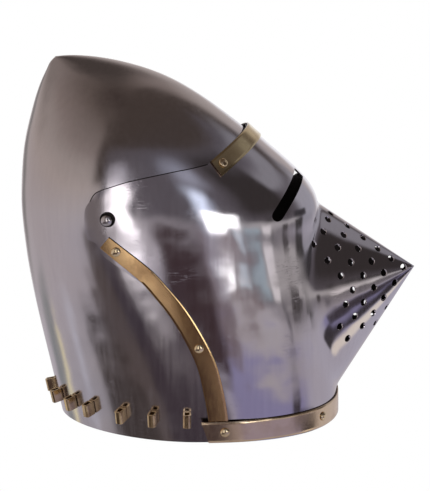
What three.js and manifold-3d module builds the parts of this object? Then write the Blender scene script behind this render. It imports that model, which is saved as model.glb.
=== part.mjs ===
// Visored bascinet: a pointed steel skull with a snouted visor on two side pivots and brass edge strips.
// Millimetres. +X is the way the face looks, +Y the wearer's left, +Z up. The rim stands on z = 0 and the
// origin lies under the middle of the length.
import * as THREE from 'three';
import { mergeVertices } from 'three/addons/utils/BufferGeometryUtils.js';
import Module from 'manifold-3d';

const wasm = await Module();
wasm.setup();

// Overall sizes
const LENGTH = 351;
const HEIGHT = 319;
const HALF_WIDTH = 104;
const REACH = LENGTH / 2;

// Sheet and fits
const SHEET = 1.5;
const VISOR_GAP = 1.4;
const PIECE_GAP = 0.3;
const STRIP_GAP = 0.45;
const FLOOR_GAP = 0.3;

// Visor
const FACE_ROOM = 10;
const EAR_FULLNESS = 0.3;
const SNOUT_RISE = 12.3;
const SNOUT_TALL = 45.7;
const SNOUT_WIDE = 29.9;
const SNOUT_TIP_HEIGHT = 130.9;
const SNOUT_DEPTH = 100;
const SLIT_WIDTH = 10.2;
const SLIT_BRIDGE = 28;
const BREATH_RADIUS = 3;

// How softly the snout runs into the face, in millimetres at the middle and on the cheek, and the turns
// from the middle, in degrees, where the cheek's softness is reached and between which the snout fades
const VALLEY_BLEND = 1;
const CHEEK_BLEND = 6;
const CHEEK_TURN = 26;
const SNOUT_FADE = [32, 46];

// Pivot
const STUD_RADIUS = 4.7;
const STUD_HOLE_RADIUS = 6.3;
const STUD_HOLE_SHIFT = 0.9;
const STUD_DOME = 2.2;
const STUD_SHANK_RADIUS = 3;
const STUD_TAIL = 1.4;
const STUD_SEAT = 2.1;
const STUD_CROWN = 0.55;

// Brass strips and rivets
const STRIP = 1.2;
const SIDE_STRIP_TOP_WIDTH = 11.5;
const SIDE_STRIP_FOOT_WIDTH = 16.5;
const SIDE_STRIP_FOOT = 4;
const SIDE_STRIP_FLARE = 1.3;
const BROW_STRIP_WIDTH = 15;
const CHIN_BAND_HEIGHT = 18.4;
const CHIN_BAND_FOOT = 1.3;
const CHIN_BAND_BACK = 9.8;
const RIVET_RADIUS = 3.9;
const RIVET_DOME = 1.8;
const RIVET_SHANK_RADIUS = 1.6;
const HOLE_PAST = 2;

// Vervelles
const PEG_PITCH = 28.7;
const PEG_HEIGHT = 21.5;
const PEG_WIDTH = 6.9;
const PEG_TALL = 11.4;
const PEG_STAND = 9.6;
const PEG_WALL = 1.7;
const PEG_TANG = 3;
const PEG_TANG_TALL = 6;
const PEG_TANG_TAIL = 1.5;

// Fineness of the meshes
const SKULL_COLUMNS = 36;
const SIDE_STRIP_ROWS = 11;
const BROW_STRIP_ROWS = 17;
const RIVET_SIDES = 7;
const STUD_SIDES = 10;
const HOLE_SIDES = 6;
const STUD_HOLE_SIDES = 16;

const steel = new THREE.MeshStandardMaterial({ color: 0x8c8588, roughness: 0.25, metalness: 1 });
const brass = new THREE.MeshStandardMaterial({ color: 0xb08b45, roughness: 0.35, metalness: 1 });

// Rings of the skull from the rim to the apex. Each ring runs from a point of the back profile to a
// point of the front profile. station is the ring's place up the skull, back and front are shares of
// REACH, backUp and frontUp of HEIGHT, width of HALF_WIDTH, centre of the ring's own length.
const SKULL_RINGS = [
  { station: 0.000, back: -0.828, backUp: 0.000, front: 0.569, frontUp: 0.000, width: 0.957, centre: 0.505 },
  { station: 0.188, back: -0.898, backUp: 0.188, front: 0.540, frontUp: 0.188, width: 0.978, centre: 0.453 },
  { station: 0.376, back: -0.962, backUp: 0.376, front: 0.489, frontUp: 0.376, width: 0.990, centre: 0.392 },
  { station: 0.548, back: -0.996, backUp: 0.548, front: 0.449, frontUp: 0.548, width: 0.999, centre: 0.338 },
  { station: 0.600, back: -1.000, backUp: 0.600, front: 0.421, frontUp: 0.600, width: 1.000, centre: 0.337 },
  { station: 0.674, back: -0.995, backUp: 0.674, front: 0.346, frontUp: 0.674, width: 0.978, centre: 0.355 },
  { station: 0.768, back: -0.977, backUp: 0.768, front: 0.193, frontUp: 0.768, width: 0.872, centre: 0.405 },
  { station: 0.846, back: -0.949, backUp: 0.834, front: 0.039, frontUp: 0.838, width: 0.722, centre: 0.440 },
  { station: 0.956, back: -0.915, backUp: 0.898, front: -0.212, frontUp: 0.929, width: 0.486, centre: 0.445 },
  { station: 1.050, back: -0.883, backUp: 0.942, front: -0.440, frontUp: 0.977, width: 0.289, centre: 0.435 },
  { station: 1.122, back: -0.859, backUp: 0.969, front: -0.634, frontUp: 0.997, width: 0.135, centre: 0.430 },
  { station: 1.166, back: -0.842, backUp: 0.985, front: -0.753, frontUp: 1.000, width: 0.052, centre: 0.420 },
  { station: 1.197, back: -0.819, backUp: 0.997, front: -0.819, frontUp: 0.997, width: 0.000, centre: 0.420 },
];
const APEX_STATION = 1.197;

// Fullness of the ring's rear and front halves: 2 is an ellipse, more is squarer.
const FULLNESS = [
  { height: 0.000, rear: 1.80, front: 2.25, visor: 2.35 },
  { height: 0.188, rear: 1.88, front: 2.22, visor: 2.35 },
  { height: 0.376, rear: 1.98, front: 2.18, visor: 2.40 },
  { height: 0.548, rear: 2.05, front: 2.12, visor: 2.34 },
  { height: 0.690, rear: 2.08, front: 2.10, visor: 2.20 },
  { height: 0.820, rear: 2.10, front: 2.10, visor: 2.12 },
  { height: 1.197, rear: 2.10, front: 2.10, visor: 2.12 },
];

// Extra room between the skull's front and the visor's face, as a share of FACE_ROOM.
const FACE_STANDOFF = [
  { height: 0.000, room: 0.40 },
  { height: 0.063, room: 0.48 },
  { height: 0.188, room: 0.24 },
  { height: 0.376, room: 0.29 },
  { height: 0.533, room: 0.52 },
  { height: 0.595, room: 0.95 },
  { height: 0.643, room: 1.07 },
  { height: 0.687, room: 0.82 },
  { height: 0.737, room: 0.44 },
  { height: 0.784, room: 0.20 },
  { height: 0.821, room: 0.15 },
];

// Side views: x as a share of REACH, z as a share of HEIGHT.
const FACE_OPENING = [
  [0.148, -0.030], [0.080, 0.188], [0.040, 0.320], [0.040, 0.440], [0.085, 0.564], [0.170, 0.643],
  [0.262, 0.688],
];
const FACE_OPENING_TOP = 0.704;
const PIVOT_PLACE = [-0.523077, 0.594671];
const VISOR_EAR = [
  [-0.510, 0.490], [-0.536, 0.501], [-0.556, 0.520], [-0.582, 0.538], [-0.609, 0.545], [-0.622, 0.568],
  [-0.626, 0.592], [-0.621, 0.623], [-0.599, 0.643], [-0.568, 0.666],
];
const VISOR_TOP = [
  [-0.568, 0.666], [-0.484, 0.682], [-0.398, 0.695], [-0.232, 0.713], [-0.141, 0.721], [-0.060, 0.730],
];
const SIDE_STRIP_LINE = [
  [-0.533, 0.539], [-0.468, 0.509], [-0.353, 0.456], [-0.279, 0.411], [-0.195, 0.351], [-0.114, 0.274],
  [-0.062, 0.207], [-0.030, 0.133], [-0.010, 0.062], [-0.004, 0.000],
];
const BROW_EDGE_END = [-0.047, 0.736];
const BROW_EDGE_MIDDLE = [0.121, 0.8055];
const SLIT_LINE = [[0.273, 0.592], [0.420, 0.703]];

// Rows of breath holes on each cheek of the snout. Ends are measured back and up from the tip, as shares
// of the snout's depth. count holes lie along the row, a little wider apart at its rear end.
const BREATH_ROWS = [
  { rear: [0.773, 0.496], fore: [0.106, 0.001], count: 6 },
  { rear: [0.805, 0.457], fore: [0.189, -0.131], count: 6 },
  { rear: [0.854, 0.369], fore: [0.291, -0.257], count: 6 },
  { rear: [0.948, 0.282], fore: [0.388, -0.386], count: 6 },
  { rear: [0.655, -0.262], fore: [0.488, -0.491], count: 3 },
  { rear: [0.706, -0.457], fore: [0.628, -0.583], count: 2 },
  { rear: [0.251, -0.363], fore: [0.251, -0.363], count: 1 },
  { rear: [0.354, -0.498], fore: [0.354, -0.498], count: 1 },
];
const BREATH_SPREAD = 0.15;

// Rows and columns of the two sheets. The visor's rows are shares of the snout tip's height, and of the way
// on from there to its top row, itself a share of HEIGHT. Its columns are shares of the way out to the
// crease of the snout, which is held between two turns in degrees, and on from there to the visor's end.
const SKULL_ROWS = [0, 0.1, 0.23, 0.36, 0.48, 0.59, 0.68, 0.77, 0.86, 0.94, 1.01, 1.07, 1.12, 1.165];
const CROWN_NORMAL = [-0.45, 0, 0.89];
const VISOR_ROWS_LOW = [0.244, 0.428, 0.611, 0.779, 0.917];
const VISOR_ROWS_HIGH = [0.09, 0.215, 0.334, 0.415, 0.482, 0.571, 0.674, 0.785, 0.896, 1];
const VISOR_TOP_ROW = 0.834;
const VISOR_END = 128;
const CREASE_NARROW = 11;
const CREASE_WIDE = 26;
const CHEEK_COLUMNS = [0, 0.2, 0.42, 0.65, 0.85, 1];
const EAR_COLUMNS = [0.06, 0.14, 0.25, 0.38, 0.51, 0.64, 0.77, 0.89, 1];

// Places of the rivets along the side strip, of the chin band's rivets as shares of REACH, of the brow
// strip's rivets and the chin band's rise as shares of their half lengths, and of the vervelles counted
// in pitches from the middle of the back.
const SIDE_RIVETS = { upper: 0.094, lower: 0.578 };
const CHIN_RIVETS = { rear: 0.020, front: 0.502 };
const BROW_RIVET_PLACE = 0.925;
const CHIN_RISE = [0.66, 0.8];
const PEG_PLACES = [0, 1.15, 2.06, 2.88, 4.04, 5.02, 6.0];

// Natural cubic spline through values at rising stations.
function spline(stations, values) {
  const last = stations.length - 1;
  const bend = new Array(last + 1).fill(0);
  const carry = new Array(last + 1).fill(0);
  for (let i = 1; i < last; i++) {
    const before = stations[i] - stations[i - 1];
    const after = stations[i + 1] - stations[i];
    const slopeChange = (values[i + 1] - values[i]) / after - (values[i] - values[i - 1]) / before;
    const pivot = 2 * (before + after) - before * carry[i - 1];
    carry[i] = after / pivot;
    bend[i] = (6 * slopeChange - before * bend[i - 1]) / pivot;
  }
  for (let i = last - 1; i > 0; i--) {
    bend[i] -= carry[i] * bend[i + 1];
  }
  return (t) => {
    let k = 0;
    while (k < last - 1 && t > stations[k + 1]) k++;
    const step = stations[k + 1] - stations[k];
    const a = (stations[k + 1] - t) / step;
    const b = 1 - a;
    const curve = ((a ** 3 - a) * bend[k] + (b ** 3 - b) * bend[k + 1]) * step * step / 6;
    return a * values[k] + b * values[k + 1] + curve;
  };
}

function column(rows, key, name, scale = 1) {
  return spline(rows.map((row) => row[key]), rows.map((row) => row[name] * scale));
}

const ring = {
  back: column(SKULL_RINGS, 'station', 'back', REACH),
  backUp: column(SKULL_RINGS, 'station', 'backUp', HEIGHT),
  front: column(SKULL_RINGS, 'station', 'front', REACH),
  frontUp: column(SKULL_RINGS, 'station', 'frontUp', HEIGHT),
  width: column(SKULL_RINGS, 'station', 'width', HALF_WIDTH),
  centre: column(SKULL_RINGS, 'station', 'centre'),
};
const fullness = {
  rear: column(FULLNESS, 'height', 'rear'),
  front: column(FULLNESS, 'height', 'front'),
  visor: column(FULLNESS, 'height', 'visor'),
};
const standoff = column(FACE_STANDOFF, 'height', 'room', FACE_ROOM);

function power(value, exponent) {
  return Math.sign(value) * Math.abs(value) ** exponent;
}

// Skull surface: angle 0 faces forward, +90 degrees is the wearer's left.
function skullPoint(angle, height) {
  const station = Math.min(height / HEIGHT, APEX_STATION);
  const full = Math.cos(angle) > 0 ? fullness.front(station) : fullness.rear(station);
  const along = power(Math.cos(angle), 2 / full);
  const across = power(Math.sin(angle), 2 / full);
  const centre = ring.centre(station);
  const share = along > 0 ? centre + (1 - centre) * along : centre * (1 + along);
  const back = ring.back(station);
  const low = ring.backUp(station);
  return new THREE.Vector3(
    back + (ring.front(station) - back) * share,
    ring.width(station) * across,
    low + (ring.frontUp(station) - low) * share,
  );
}

// The visor is measured out from an upright axis through the middle of the skull's ring.
function visorAxis(height) {
  const station = height / HEIGHT;
  const back = ring.back(station);
  return back + (ring.front(station) - back) * ring.centre(station);
}

function faceRadius(angle, height) {
  const station = height / HEIGHT;
  const fit = SHEET + VISOR_GAP;
  const facing = Math.cos(angle) > 0;
  const full = facing ? fullness.visor(station) : fullness.rear(station) + EAR_FULLNESS;
  const axis = visorAxis(height);
  const front = ring.front(station) + fit + standoff(station) - axis;
  const rear = axis - ring.back(station) + fit;
  const width = ring.width(station) + fit;
  const along = Math.abs(Math.cos(angle)) / (facing ? front : rear);
  const across = Math.abs(Math.sin(angle)) / width;
  return (along ** full + across ** full) ** (-1 / full);
}

// Snout: a cone with its tip at the front, taller than it is wide, its axis rising forward.
const RISE = THREE.MathUtils.degToRad(SNOUT_RISE);
const TALL = Math.tan(THREE.MathUtils.degToRad(SNOUT_TALL));
const WIDE = Math.tan(THREE.MathUtils.degToRad(SNOUT_WIDE));

function snoutRadius(angle, height) {
  const back = visorAxis(height) - REACH;
  const up = height - SNOUT_TIP_HEIGHT;
  const depth = -(back * Math.cos(RISE) + up * Math.sin(RISE));
  const rise = (up * Math.cos(RISE) - back * Math.sin(RISE)) / TALL;
  const depthStep = -Math.cos(angle) * Math.cos(RISE);
  const riseStep = -Math.cos(angle) * Math.sin(RISE) / TALL;
  const sideStep = Math.sin(angle) / WIDE;
  const a = riseStep ** 2 + sideStep ** 2 - depthStep ** 2;
  const b = 2 * (rise * riseStep - depth * depthStep);
  const c = rise ** 2 - depth ** 2;
  if (c > 0) return 0;
  const root = Math.sqrt(Math.max(b * b - 4 * a * c, 0));
  const ways = [(-b + root) / (2 * a), (-b - root) / (2 * a)];
  const ahead = ways.filter((r) => r > 0 && depth + depthStep * r > -1e-6);
  return ahead.length ? Math.min(...ahead, 2 * LENGTH) : 2 * LENGTH;
}

function visorPoint(angle, height) {
  const face = faceRadius(angle, height);
  const turn = Math.abs(THREE.MathUtils.radToDeg(angle));
  const blend = VALLEY_BLEND + (CHEEK_BLEND - VALLEY_BLEND) * Math.min(turn / CHEEK_TURN, 1) ** 2;
  const excess = (snoutRadius(angle, height) - face) / blend;
  const swell = excess > 30 ? excess : Math.log1p(Math.exp(excess));
  const fade = 1 - THREE.MathUtils.smoothstep(turn, ...SNOUT_FADE);
  const radius = face + fade * blend * swell;
  return new THREE.Vector3(
    visorAxis(height) + radius * Math.cos(angle),
    radius * Math.sin(angle),
    height,
  );
}

// Outward normal of a surface by small steps along its two directions.
function normalAt(surface, angle, height) {
  const turn = 0.004;
  const rise = 0.4;
  const low = Math.max(height - rise, 0);
  const around = surface(angle + turn, height).sub(surface(angle - turn, height));
  const up = surface(angle, height + rise).sub(surface(angle, low));
  return around.cross(up).normalize();
}

// Angle at which a surface passes a side view's x at a given height, on the wearer's left.
function angleAt(surface, x, height) {
  let ahead = 0;
  let behind = Math.PI;
  for (let i = 0; i < 40; i++) {
    const middle = (ahead + behind) / 2;
    if (surface(middle, height).x > x) ahead = middle;
    else behind = middle;
  }
  return (ahead + behind) / 2;
}

function geometryFrom(vertices, triangles) {
  const geometry = new THREE.BufferGeometry();
  geometry.setAttribute('position', new THREE.Float32BufferAttribute(vertices, 3));
  geometry.setIndex(triangles);
  return geometry;
}

function volumeOf(positions, triangles) {
  const corner = (i) => new THREE.Vector3().fromArray(positions, 3 * triangles[i]);
  let volume = 0;
  for (let i = 0; i < triangles.length; i += 3) {
    volume += corner(i).dot(corner(i + 1).cross(corner(i + 2))) / 6;
  }
  return volume;
}

// Closed mesh to solid: shared corners merged, empty triangles dropped, faces turned outward.
function solidFrom(geometry) {
  const bare = geometry.clone();
  bare.deleteAttribute('normal');
  bare.deleteAttribute('uv');
  const merged = mergeVertices(bare, 1e-4);
  const positions = merged.attributes.position.array;
  const triangles = [];
  const index = merged.index.array;
  for (let i = 0; i < index.length; i += 3) {
    const [a, b, c] = [index[i], index[i + 1], index[i + 2]];
    if (a !== b && b !== c && c !== a) triangles.push(a, b, c);
  }
  if (volumeOf(positions, triangles) < 0) triangles.reverse();
  return new wasm.Manifold(new wasm.Mesh({
    numProp: 3,
    vertProperties: new Float32Array(positions),
    triVerts: new Uint32Array(triangles),
  }));
}

function meshOf(name, solid, material) {
  const { vertProperties, triVerts } = solid.getMesh();
  const mesh = new THREE.Mesh(geometryFrom(Array.from(vertProperties), Array.from(triVerts)), material);
  mesh.geometry.computeVertexNormals();
  mesh.name = name;
  return mesh;
}

// Sheet between two offsets of a grid of surface points. rows[i][j] holds a point and its normal. The
// squares are split along mirrored diagonals on the two sides of the middle plane, alike in both layers.
function sheetSolid(rows, inner, outer, closed) {
  const vertices = [];
  const triangles = [];
  const count = rows.length;
  const width = rows[0].length;
  for (const offset of [outer, inner]) {
    for (const row of rows) {
      for (const { point, normal } of row) {
        vertices.push(...point.clone().addScaledVector(normal, offset));
      }
    }
  }
  const at = (layer, i, j) => layer * count * width + i * width + (j % width);
  const quad = (a, b, c, d) => triangles.push(a, b, c, a, c, d);
  const corners = (layer, i, j) => {
    const loop = [at(layer, i, j), at(layer, i, j + 1), at(layer, i + 1, j + 1), at(layer, i + 1, j)];
    const left = rows[i][j].point.y + rows[i + 1][(j + 1) % width].point.y > 0;
    return left ? [...loop.slice(1), loop[0]] : loop;
  };
  const spans = closed ? width : width - 1;
  for (let j = 0; j < spans; j++) {
    for (let i = 0; i < count - 1; i++) {
      quad(...corners(0, i, j));
      const [a, b, c, d] = corners(1, i, j);
      quad(a, d, c, b);
    }
    quad(at(1, 0, j), at(1, 0, j + 1), at(0, 0, j + 1), at(0, 0, j));
    quad(at(0, count - 1, j), at(0, count - 1, j + 1), at(1, count - 1, j + 1), at(1, count - 1, j));
  }
  if (!closed) {
    for (let i = 0; i < count - 1; i++) {
      quad(at(0, i, 0), at(0, i + 1, 0), at(1, i + 1, 0), at(1, i, 0));
      quad(at(0, i + 1, spans), at(0, i, spans), at(1, i, spans), at(1, i + 1, spans));
    }
  }
  return solidFrom(geometryFrom(vertices, triangles));
}

function surfaceRow(surface, angles, height) {
  return angles.map((angle) => ({
    point: surface(angle, height),
    normal: normalAt(surface, angle, height),
  }));
}

// Side-view share pairs as points in millimetres.
function sideView(pairs) {
  return pairs.map(([x, z]) => new THREE.Vector2(x * REACH, z * HEIGHT));
}

// Prism along Y with a side-view outline, between two distances from the middle plane.
function sidePrism(shape, from, to) {
  const sweep = { depth: to - from, bevelEnabled: false, curveSegments: 2 };
  const prism = new THREE.ExtrudeGeometry(shape, sweep);
  prism.rotateX(Math.PI / 2);
  prism.translate(0, to, 0);
  return solidFrom(prism);
}

// Frame on a surface: local Z points out along the normal, local X runs level.
function seat(point, normal) {
  const level = new THREE.Vector3(0, 0, 1).cross(normal).normalize();
  const up = normal.clone().cross(level);
  return new THREE.Matrix4().makeBasis(level, up, normal).setPosition(point);
}

function peg(radius, from, to, matrix, sides = HOLE_SIDES) {
  const cylinder = new THREE.CylinderGeometry(radius, radius, to - from, sides);
  cylinder.rotateX(Math.PI / 2);
  cylinder.translate(0, 0, (from + to) / 2);
  cylinder.applyMatrix4(matrix);
  return solidFrom(cylinder);
}

// Turned rivet about local Z: domed head from z = 0 up, shank down through the sheets, ground flush
// below so that the visor can turn over the skull.
function rivetGeometry(radius, dome, shank, grip) {
  const profile = [new THREE.Vector2(0, -grip)];
  profile.push(new THREE.Vector2(shank, -grip));
  profile.push(new THREE.Vector2(shank, 0));
  profile.push(new THREE.Vector2(radius, 0));
  for (const share of [0.3, 0.65]) {
    const turn = share * Math.PI / 2;
    profile.push(new THREE.Vector2(radius * Math.cos(turn), dome * Math.sin(turn)));
  }
  profile.push(new THREE.Vector2(0, dome));
  const turned = new THREE.LatheGeometry(profile, RIVET_SIDES);
  turned.rotateX(Math.PI / 2);
  return turned;
}

const helmet = new THREE.Group();

// Skull
const skullAngles = Array.from({ length: SKULL_COLUMNS }, (_, i) => (i / SKULL_COLUMNS) * 2 * Math.PI);
const skullRows = SKULL_ROWS.map((share) => surfaceRow(skullPoint, skullAngles, share * HEIGHT));
const crown = skullPoint(0, APEX_STATION * HEIGHT);
const crownNormal = new THREE.Vector3(...CROWN_NORMAL).normalize();
skullRows.push(skullAngles.map(() => ({ point: crown, normal: crownNormal })));
for (const { point, normal } of skullRows[0]) {
  point.z = 0;
  normal.setZ(0).normalize();
}
let skull = sheetSolid(skullRows, -SHEET, 0, true);

const opening = new THREE.Shape();
const openingEdge = sideView(FACE_OPENING);
opening.moveTo(openingEdge[0].x, openingEdge[0].y);
opening.splineThru(openingEdge.slice(1));
opening.lineTo(openingEdge.at(-1).x + FACE_ROOM, FACE_OPENING_TOP * HEIGHT);
opening.lineTo(REACH, FACE_OPENING_TOP * HEIGHT);
opening.lineTo(REACH, openingEdge[0].y);
skull = skull.subtract(sidePrism(opening, -2 * HALF_WIDTH, 2 * HALF_WIDTH));

// Visor. Its columns fan out from the middle: the inner ones follow the crease between snout and face.
const chinMiddle = CHIN_BAND_FOOT + CHIN_BAND_HEIGHT / 2;
const chinTop = CHIN_BAND_FOOT + CHIN_BAND_HEIGHT;
function visorTurns(height) {
  const level = Math.max(height, chinTop);
  let inside = 0;
  let outside = Math.PI / 4;
  for (let i = 0; i < 30; i++) {
    const middle = (inside + outside) / 2;
    if (snoutRadius(middle, level) > faceRadius(middle, level)) inside = middle;
    else outside = middle;
  }
  const crease = THREE.MathUtils.clamp(THREE.MathUtils.radToDeg(inside), CREASE_NARROW, CREASE_WIDE);
  const cheek = CHEEK_COLUMNS.map((share) => share * crease);
  const ear = EAR_COLUMNS.map((share) => THREE.MathUtils.lerp(crease, VISOR_END, share));
  return [...cheek, ...ear].map(THREE.MathUtils.degToRad);
}
function bothSides(turns) {
  return [...turns.slice(1).reverse().map((turn) => -turn), ...turns];
}
const lowRows = VISOR_ROWS_LOW.map((share) => share * SNOUT_TIP_HEIGHT);
const highRows = VISOR_ROWS_HIGH.map((share) => (
  THREE.MathUtils.lerp(SNOUT_TIP_HEIGHT, VISOR_TOP_ROW * HEIGHT, share)));
const visorHeights = [FLOOR_GAP, chinTop, ...lowRows, SNOUT_TIP_HEIGHT, ...highRows];
let visor = sheetSolid(visorHeights.map((height) => (
  surfaceRow(visorPoint, bothSides(visorTurns(height)), height))), -SHEET, 0, false);

const stripLine = new THREE.SplineCurve(sideView(SIDE_STRIP_LINE));
const browEnd = sideView([BROW_EDGE_END])[0];
const browMiddle = sideView([BROW_EDGE_MIDDLE])[0];

// Side-view place on the side strip: along runs 0 to 1 down its middle line, across -1 (rear) to 1.
function stripPlace(along, across) {
  const middle = stripLine.getPoint(along);
  const way = stripLine.getTangent(along);
  const flare = Math.min(along * SIDE_STRIP_FLARE, 1);
  const width = THREE.MathUtils.lerp(SIDE_STRIP_TOP_WIDTH, SIDE_STRIP_FOOT_WIDTH, flare);
  const side = new THREE.Vector2(-way.y, way.x);
  return middle.addScaledVector(side, across * width / 2);
}

// A spot on the visor from its side view, with its normal: side is 1 on the wearer's left, -1 on the right.
function visorSpot(place, side) {
  const angle = angleAt(visorPoint, place.x, place.y) * side;
  return { point: visorPoint(angle, place.y), normal: normalAt(visorPoint, angle, place.y) };
}

const outline = new THREE.Shape();
outline.moveTo(REACH + SNOUT_DEPTH, -HEIGHT);
outline.lineTo(stripPlace(1, -1).x, -HEIGHT);
outline.lineTo(stripPlace(1, -1).x, stripPlace(1, -1).y);
outline.splineThru([0.85, 0.7, 0.55, 0.4, 0.25].map((along) => stripPlace(along, -1)));
outline.splineThru(sideView(VISOR_EAR));
outline.splineThru(sideView(VISOR_TOP).slice(1));
outline.lineTo(browEnd.x, browEnd.y);
outline.lineTo(browMiddle.x, browMiddle.y);
outline.lineTo(browMiddle.x + SNOUT_DEPTH, browMiddle.y + SNOUT_DEPTH);
outline.lineTo(REACH + SNOUT_DEPTH, browMiddle.y + SNOUT_DEPTH);
visor = visor.intersect(sidePrism(outline, -2 * HALF_WIDTH, 2 * HALF_WIDTH));

const [slitRear, slitFront] = sideView(SLIT_LINE);
const slitWay = slitFront.clone().sub(slitRear).normalize();
const slitSide = new THREE.Vector2(-slitWay.y, slitWay.x).multiplyScalar(SLIT_WIDTH / 2);
const slit = new THREE.Shape();
slit.moveTo(slitFront.x - slitSide.x, slitFront.y - slitSide.y);
slit.lineTo(slitFront.x + slitSide.x, slitFront.y + slitSide.y);
slit.lineTo(slitRear.x + slitSide.x, slitRear.y + slitSide.y);
slit.absarc(slitRear.x, slitRear.y, SLIT_WIDTH / 2, slitSide.angle(), slitSide.angle() + Math.PI, false);
visor = visor.subtract(sidePrism(slit, SLIT_BRIDGE / 2, 2 * HALF_WIDTH));
visor = visor.subtract(sidePrism(slit, -2 * HALF_WIDTH, -SLIT_BRIDGE / 2));

for (const { rear, fore, count } of BREATH_ROWS) {
  for (let i = 0; i < count; i++) {
    const even = count > 1 ? i / (count - 1) : 0;
    const share = even * (1 + BREATH_SPREAD * (1 - even));
    const back = THREE.MathUtils.lerp(rear[0], fore[0], share) * SNOUT_DEPTH;
    const up = THREE.MathUtils.lerp(rear[1], fore[1], share) * SNOUT_DEPTH;
    const place = new THREE.Vector2(REACH - back, SNOUT_TIP_HEIGHT + up);
    for (const side of [1, -1]) {
      const { point, normal } = visorSpot(place, side);
      visor = visor.subtract(peg(BREATH_RADIUS, -3 * SHEET, 3 * SHEET, seat(point, normal)));
    }
  }
}

// Pivot studs, upright on the hinge line
const studGrip = 2 * SHEET + VISOR_GAP;
const pivot = sideView([PIVOT_PLACE])[0];
for (const [side, word] of [[-1, 'right'], [1, 'left']]) {
  const skullAngle = angleAt(skullPoint, pivot.x, pivot.y) * side;
  const skullSide = Math.abs(skullPoint(skullAngle, pivot.y).y);
  const outward = new THREE.Vector3(0, side, 0);
  const place = new THREE.Vector3(pivot.x, side * skullSide, pivot.y);
  const stand = seat(place, outward);
  const holeStand = stand.clone().setPosition(place.clone().add(
    new THREE.Vector3(STUD_HOLE_SHIFT, 0, STUD_HOLE_SHIFT)));
  visor = visor.subtract(peg(STUD_HOLE_RADIUS, -studGrip, 2 * studGrip, holeStand, STUD_HOLE_SIDES));
  skull = skull.subtract(peg(STUD_SHANK_RADIUS + PIECE_GAP, -studGrip, studGrip, stand, STUD_SIDES));
  const top = studGrip - SHEET + STUD_CROWN;
  const collar = VISOR_GAP + PIECE_GAP / 2;
  const tail = -SHEET - STUD_SEAT;
  const profile = [
    [0, tail - STUD_TAIL], [STUD_SHANK_RADIUS * 1.5, tail - STUD_TAIL],
    [STUD_SHANK_RADIUS * 1.7, tail], [STUD_SHANK_RADIUS, tail],
    [STUD_SHANK_RADIUS, collar], [STUD_RADIUS, collar], [STUD_RADIUS, top],
    [STUD_RADIUS * 0.8, top + STUD_DOME * 0.6], [STUD_RADIUS * 0.45, top + STUD_DOME * 0.9],
    [0, top + STUD_DOME],
  ].map(([x, y]) => new THREE.Vector2(x, y));
  const turned = new THREE.LatheGeometry(profile, STUD_SIDES);
  turned.rotateX(Math.PI / 2);
  turned.applyMatrix4(stand);
  helmet.add(meshOf(`pivot_stud_${word}`, solidFrom(turned), steel));
}

// Brass rivets: each goes through what lies between its head and its tail
const strips = {};
function rivet(name, spot, lift, grip, through) {
  const head = spot.point.clone().addScaledVector(spot.normal, lift);
  const stand = seat(head, spot.normal);
  const turned = rivetGeometry(RIVET_RADIUS, RIVET_DOME, RIVET_SHANK_RADIUS, grip);
  turned.applyMatrix4(stand);
  helmet.add(meshOf(name, solidFrom(turned), brass));
  const hole = peg(RIVET_SHANK_RADIUS + PIECE_GAP, -grip - HOLE_PAST, HOLE_PAST, stand);
  visor = visor.subtract(hole);
  for (const strip of through) strips[strip] = strips[strip].subtract(hole);
}

// Side strips
const stripSteps = Array.from({ length: SIDE_STRIP_ROWS }, (_, i) => i / (SIDE_STRIP_ROWS - 1));
const footShare = 1 - SIDE_STRIP_FOOT / stripLine.getLength();
for (const [side, word] of [[-1, 'right'], [1, 'left']]) {
  const rows = stripSteps.map((step) => [-1, 0, 1].map((across) => (
    visorSpot(stripPlace(step * footShare, across), side))));
  strips[`side_strip_${word}`] = sheetSolid(rows, STRIP_GAP, STRIP_GAP + STRIP, false);
}

// Chin band: level round the collar, lifted at its ends over the feet of the side strips
const chinEnd = angleAt(visorPoint, -CHIN_BAND_BACK, CHIN_BAND_FOOT);
const chinLift = STRIP + PIECE_GAP;
function chinRow(share) {
  const angle = share * chinEnd;
  return [0, 1].map((up) => {
    const height = CHIN_BAND_FOOT + up * CHIN_BAND_HEIGHT;
    const point = visorPoint(angle, height);
    const normal = normalAt(faceOnly, angle, height);
    const reach = THREE.MathUtils.smoothstep(Math.abs(share), ...CHIN_RISE);
    return { point: point.addScaledVector(normal, reach * chinLift), normal };
  });
}
function faceOnly(angle, height) {
  const radius = faceRadius(angle, height);
  const x = visorAxis(height) + radius * Math.cos(angle);
  return new THREE.Vector3(x, radius * Math.sin(angle), height);
}
const chinUnder = angleAt(visorPoint, stripPlace(footShare, 1).x, chinMiddle);
const chinTurns = visorTurns(chinTop).filter((turn) => turn > 0 && turn < chinUnder);
const chinSteps = [...chinTurns, chinUnder, chinEnd].map((turn) => turn / chinEnd);
const chinShares = [...chinSteps.slice().reverse().map((share) => -share), 0, ...chinSteps];
strips.chin_band = sheetSolid(chinShares.map(chinRow), STRIP_GAP, STRIP_GAP + STRIP, false);

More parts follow.
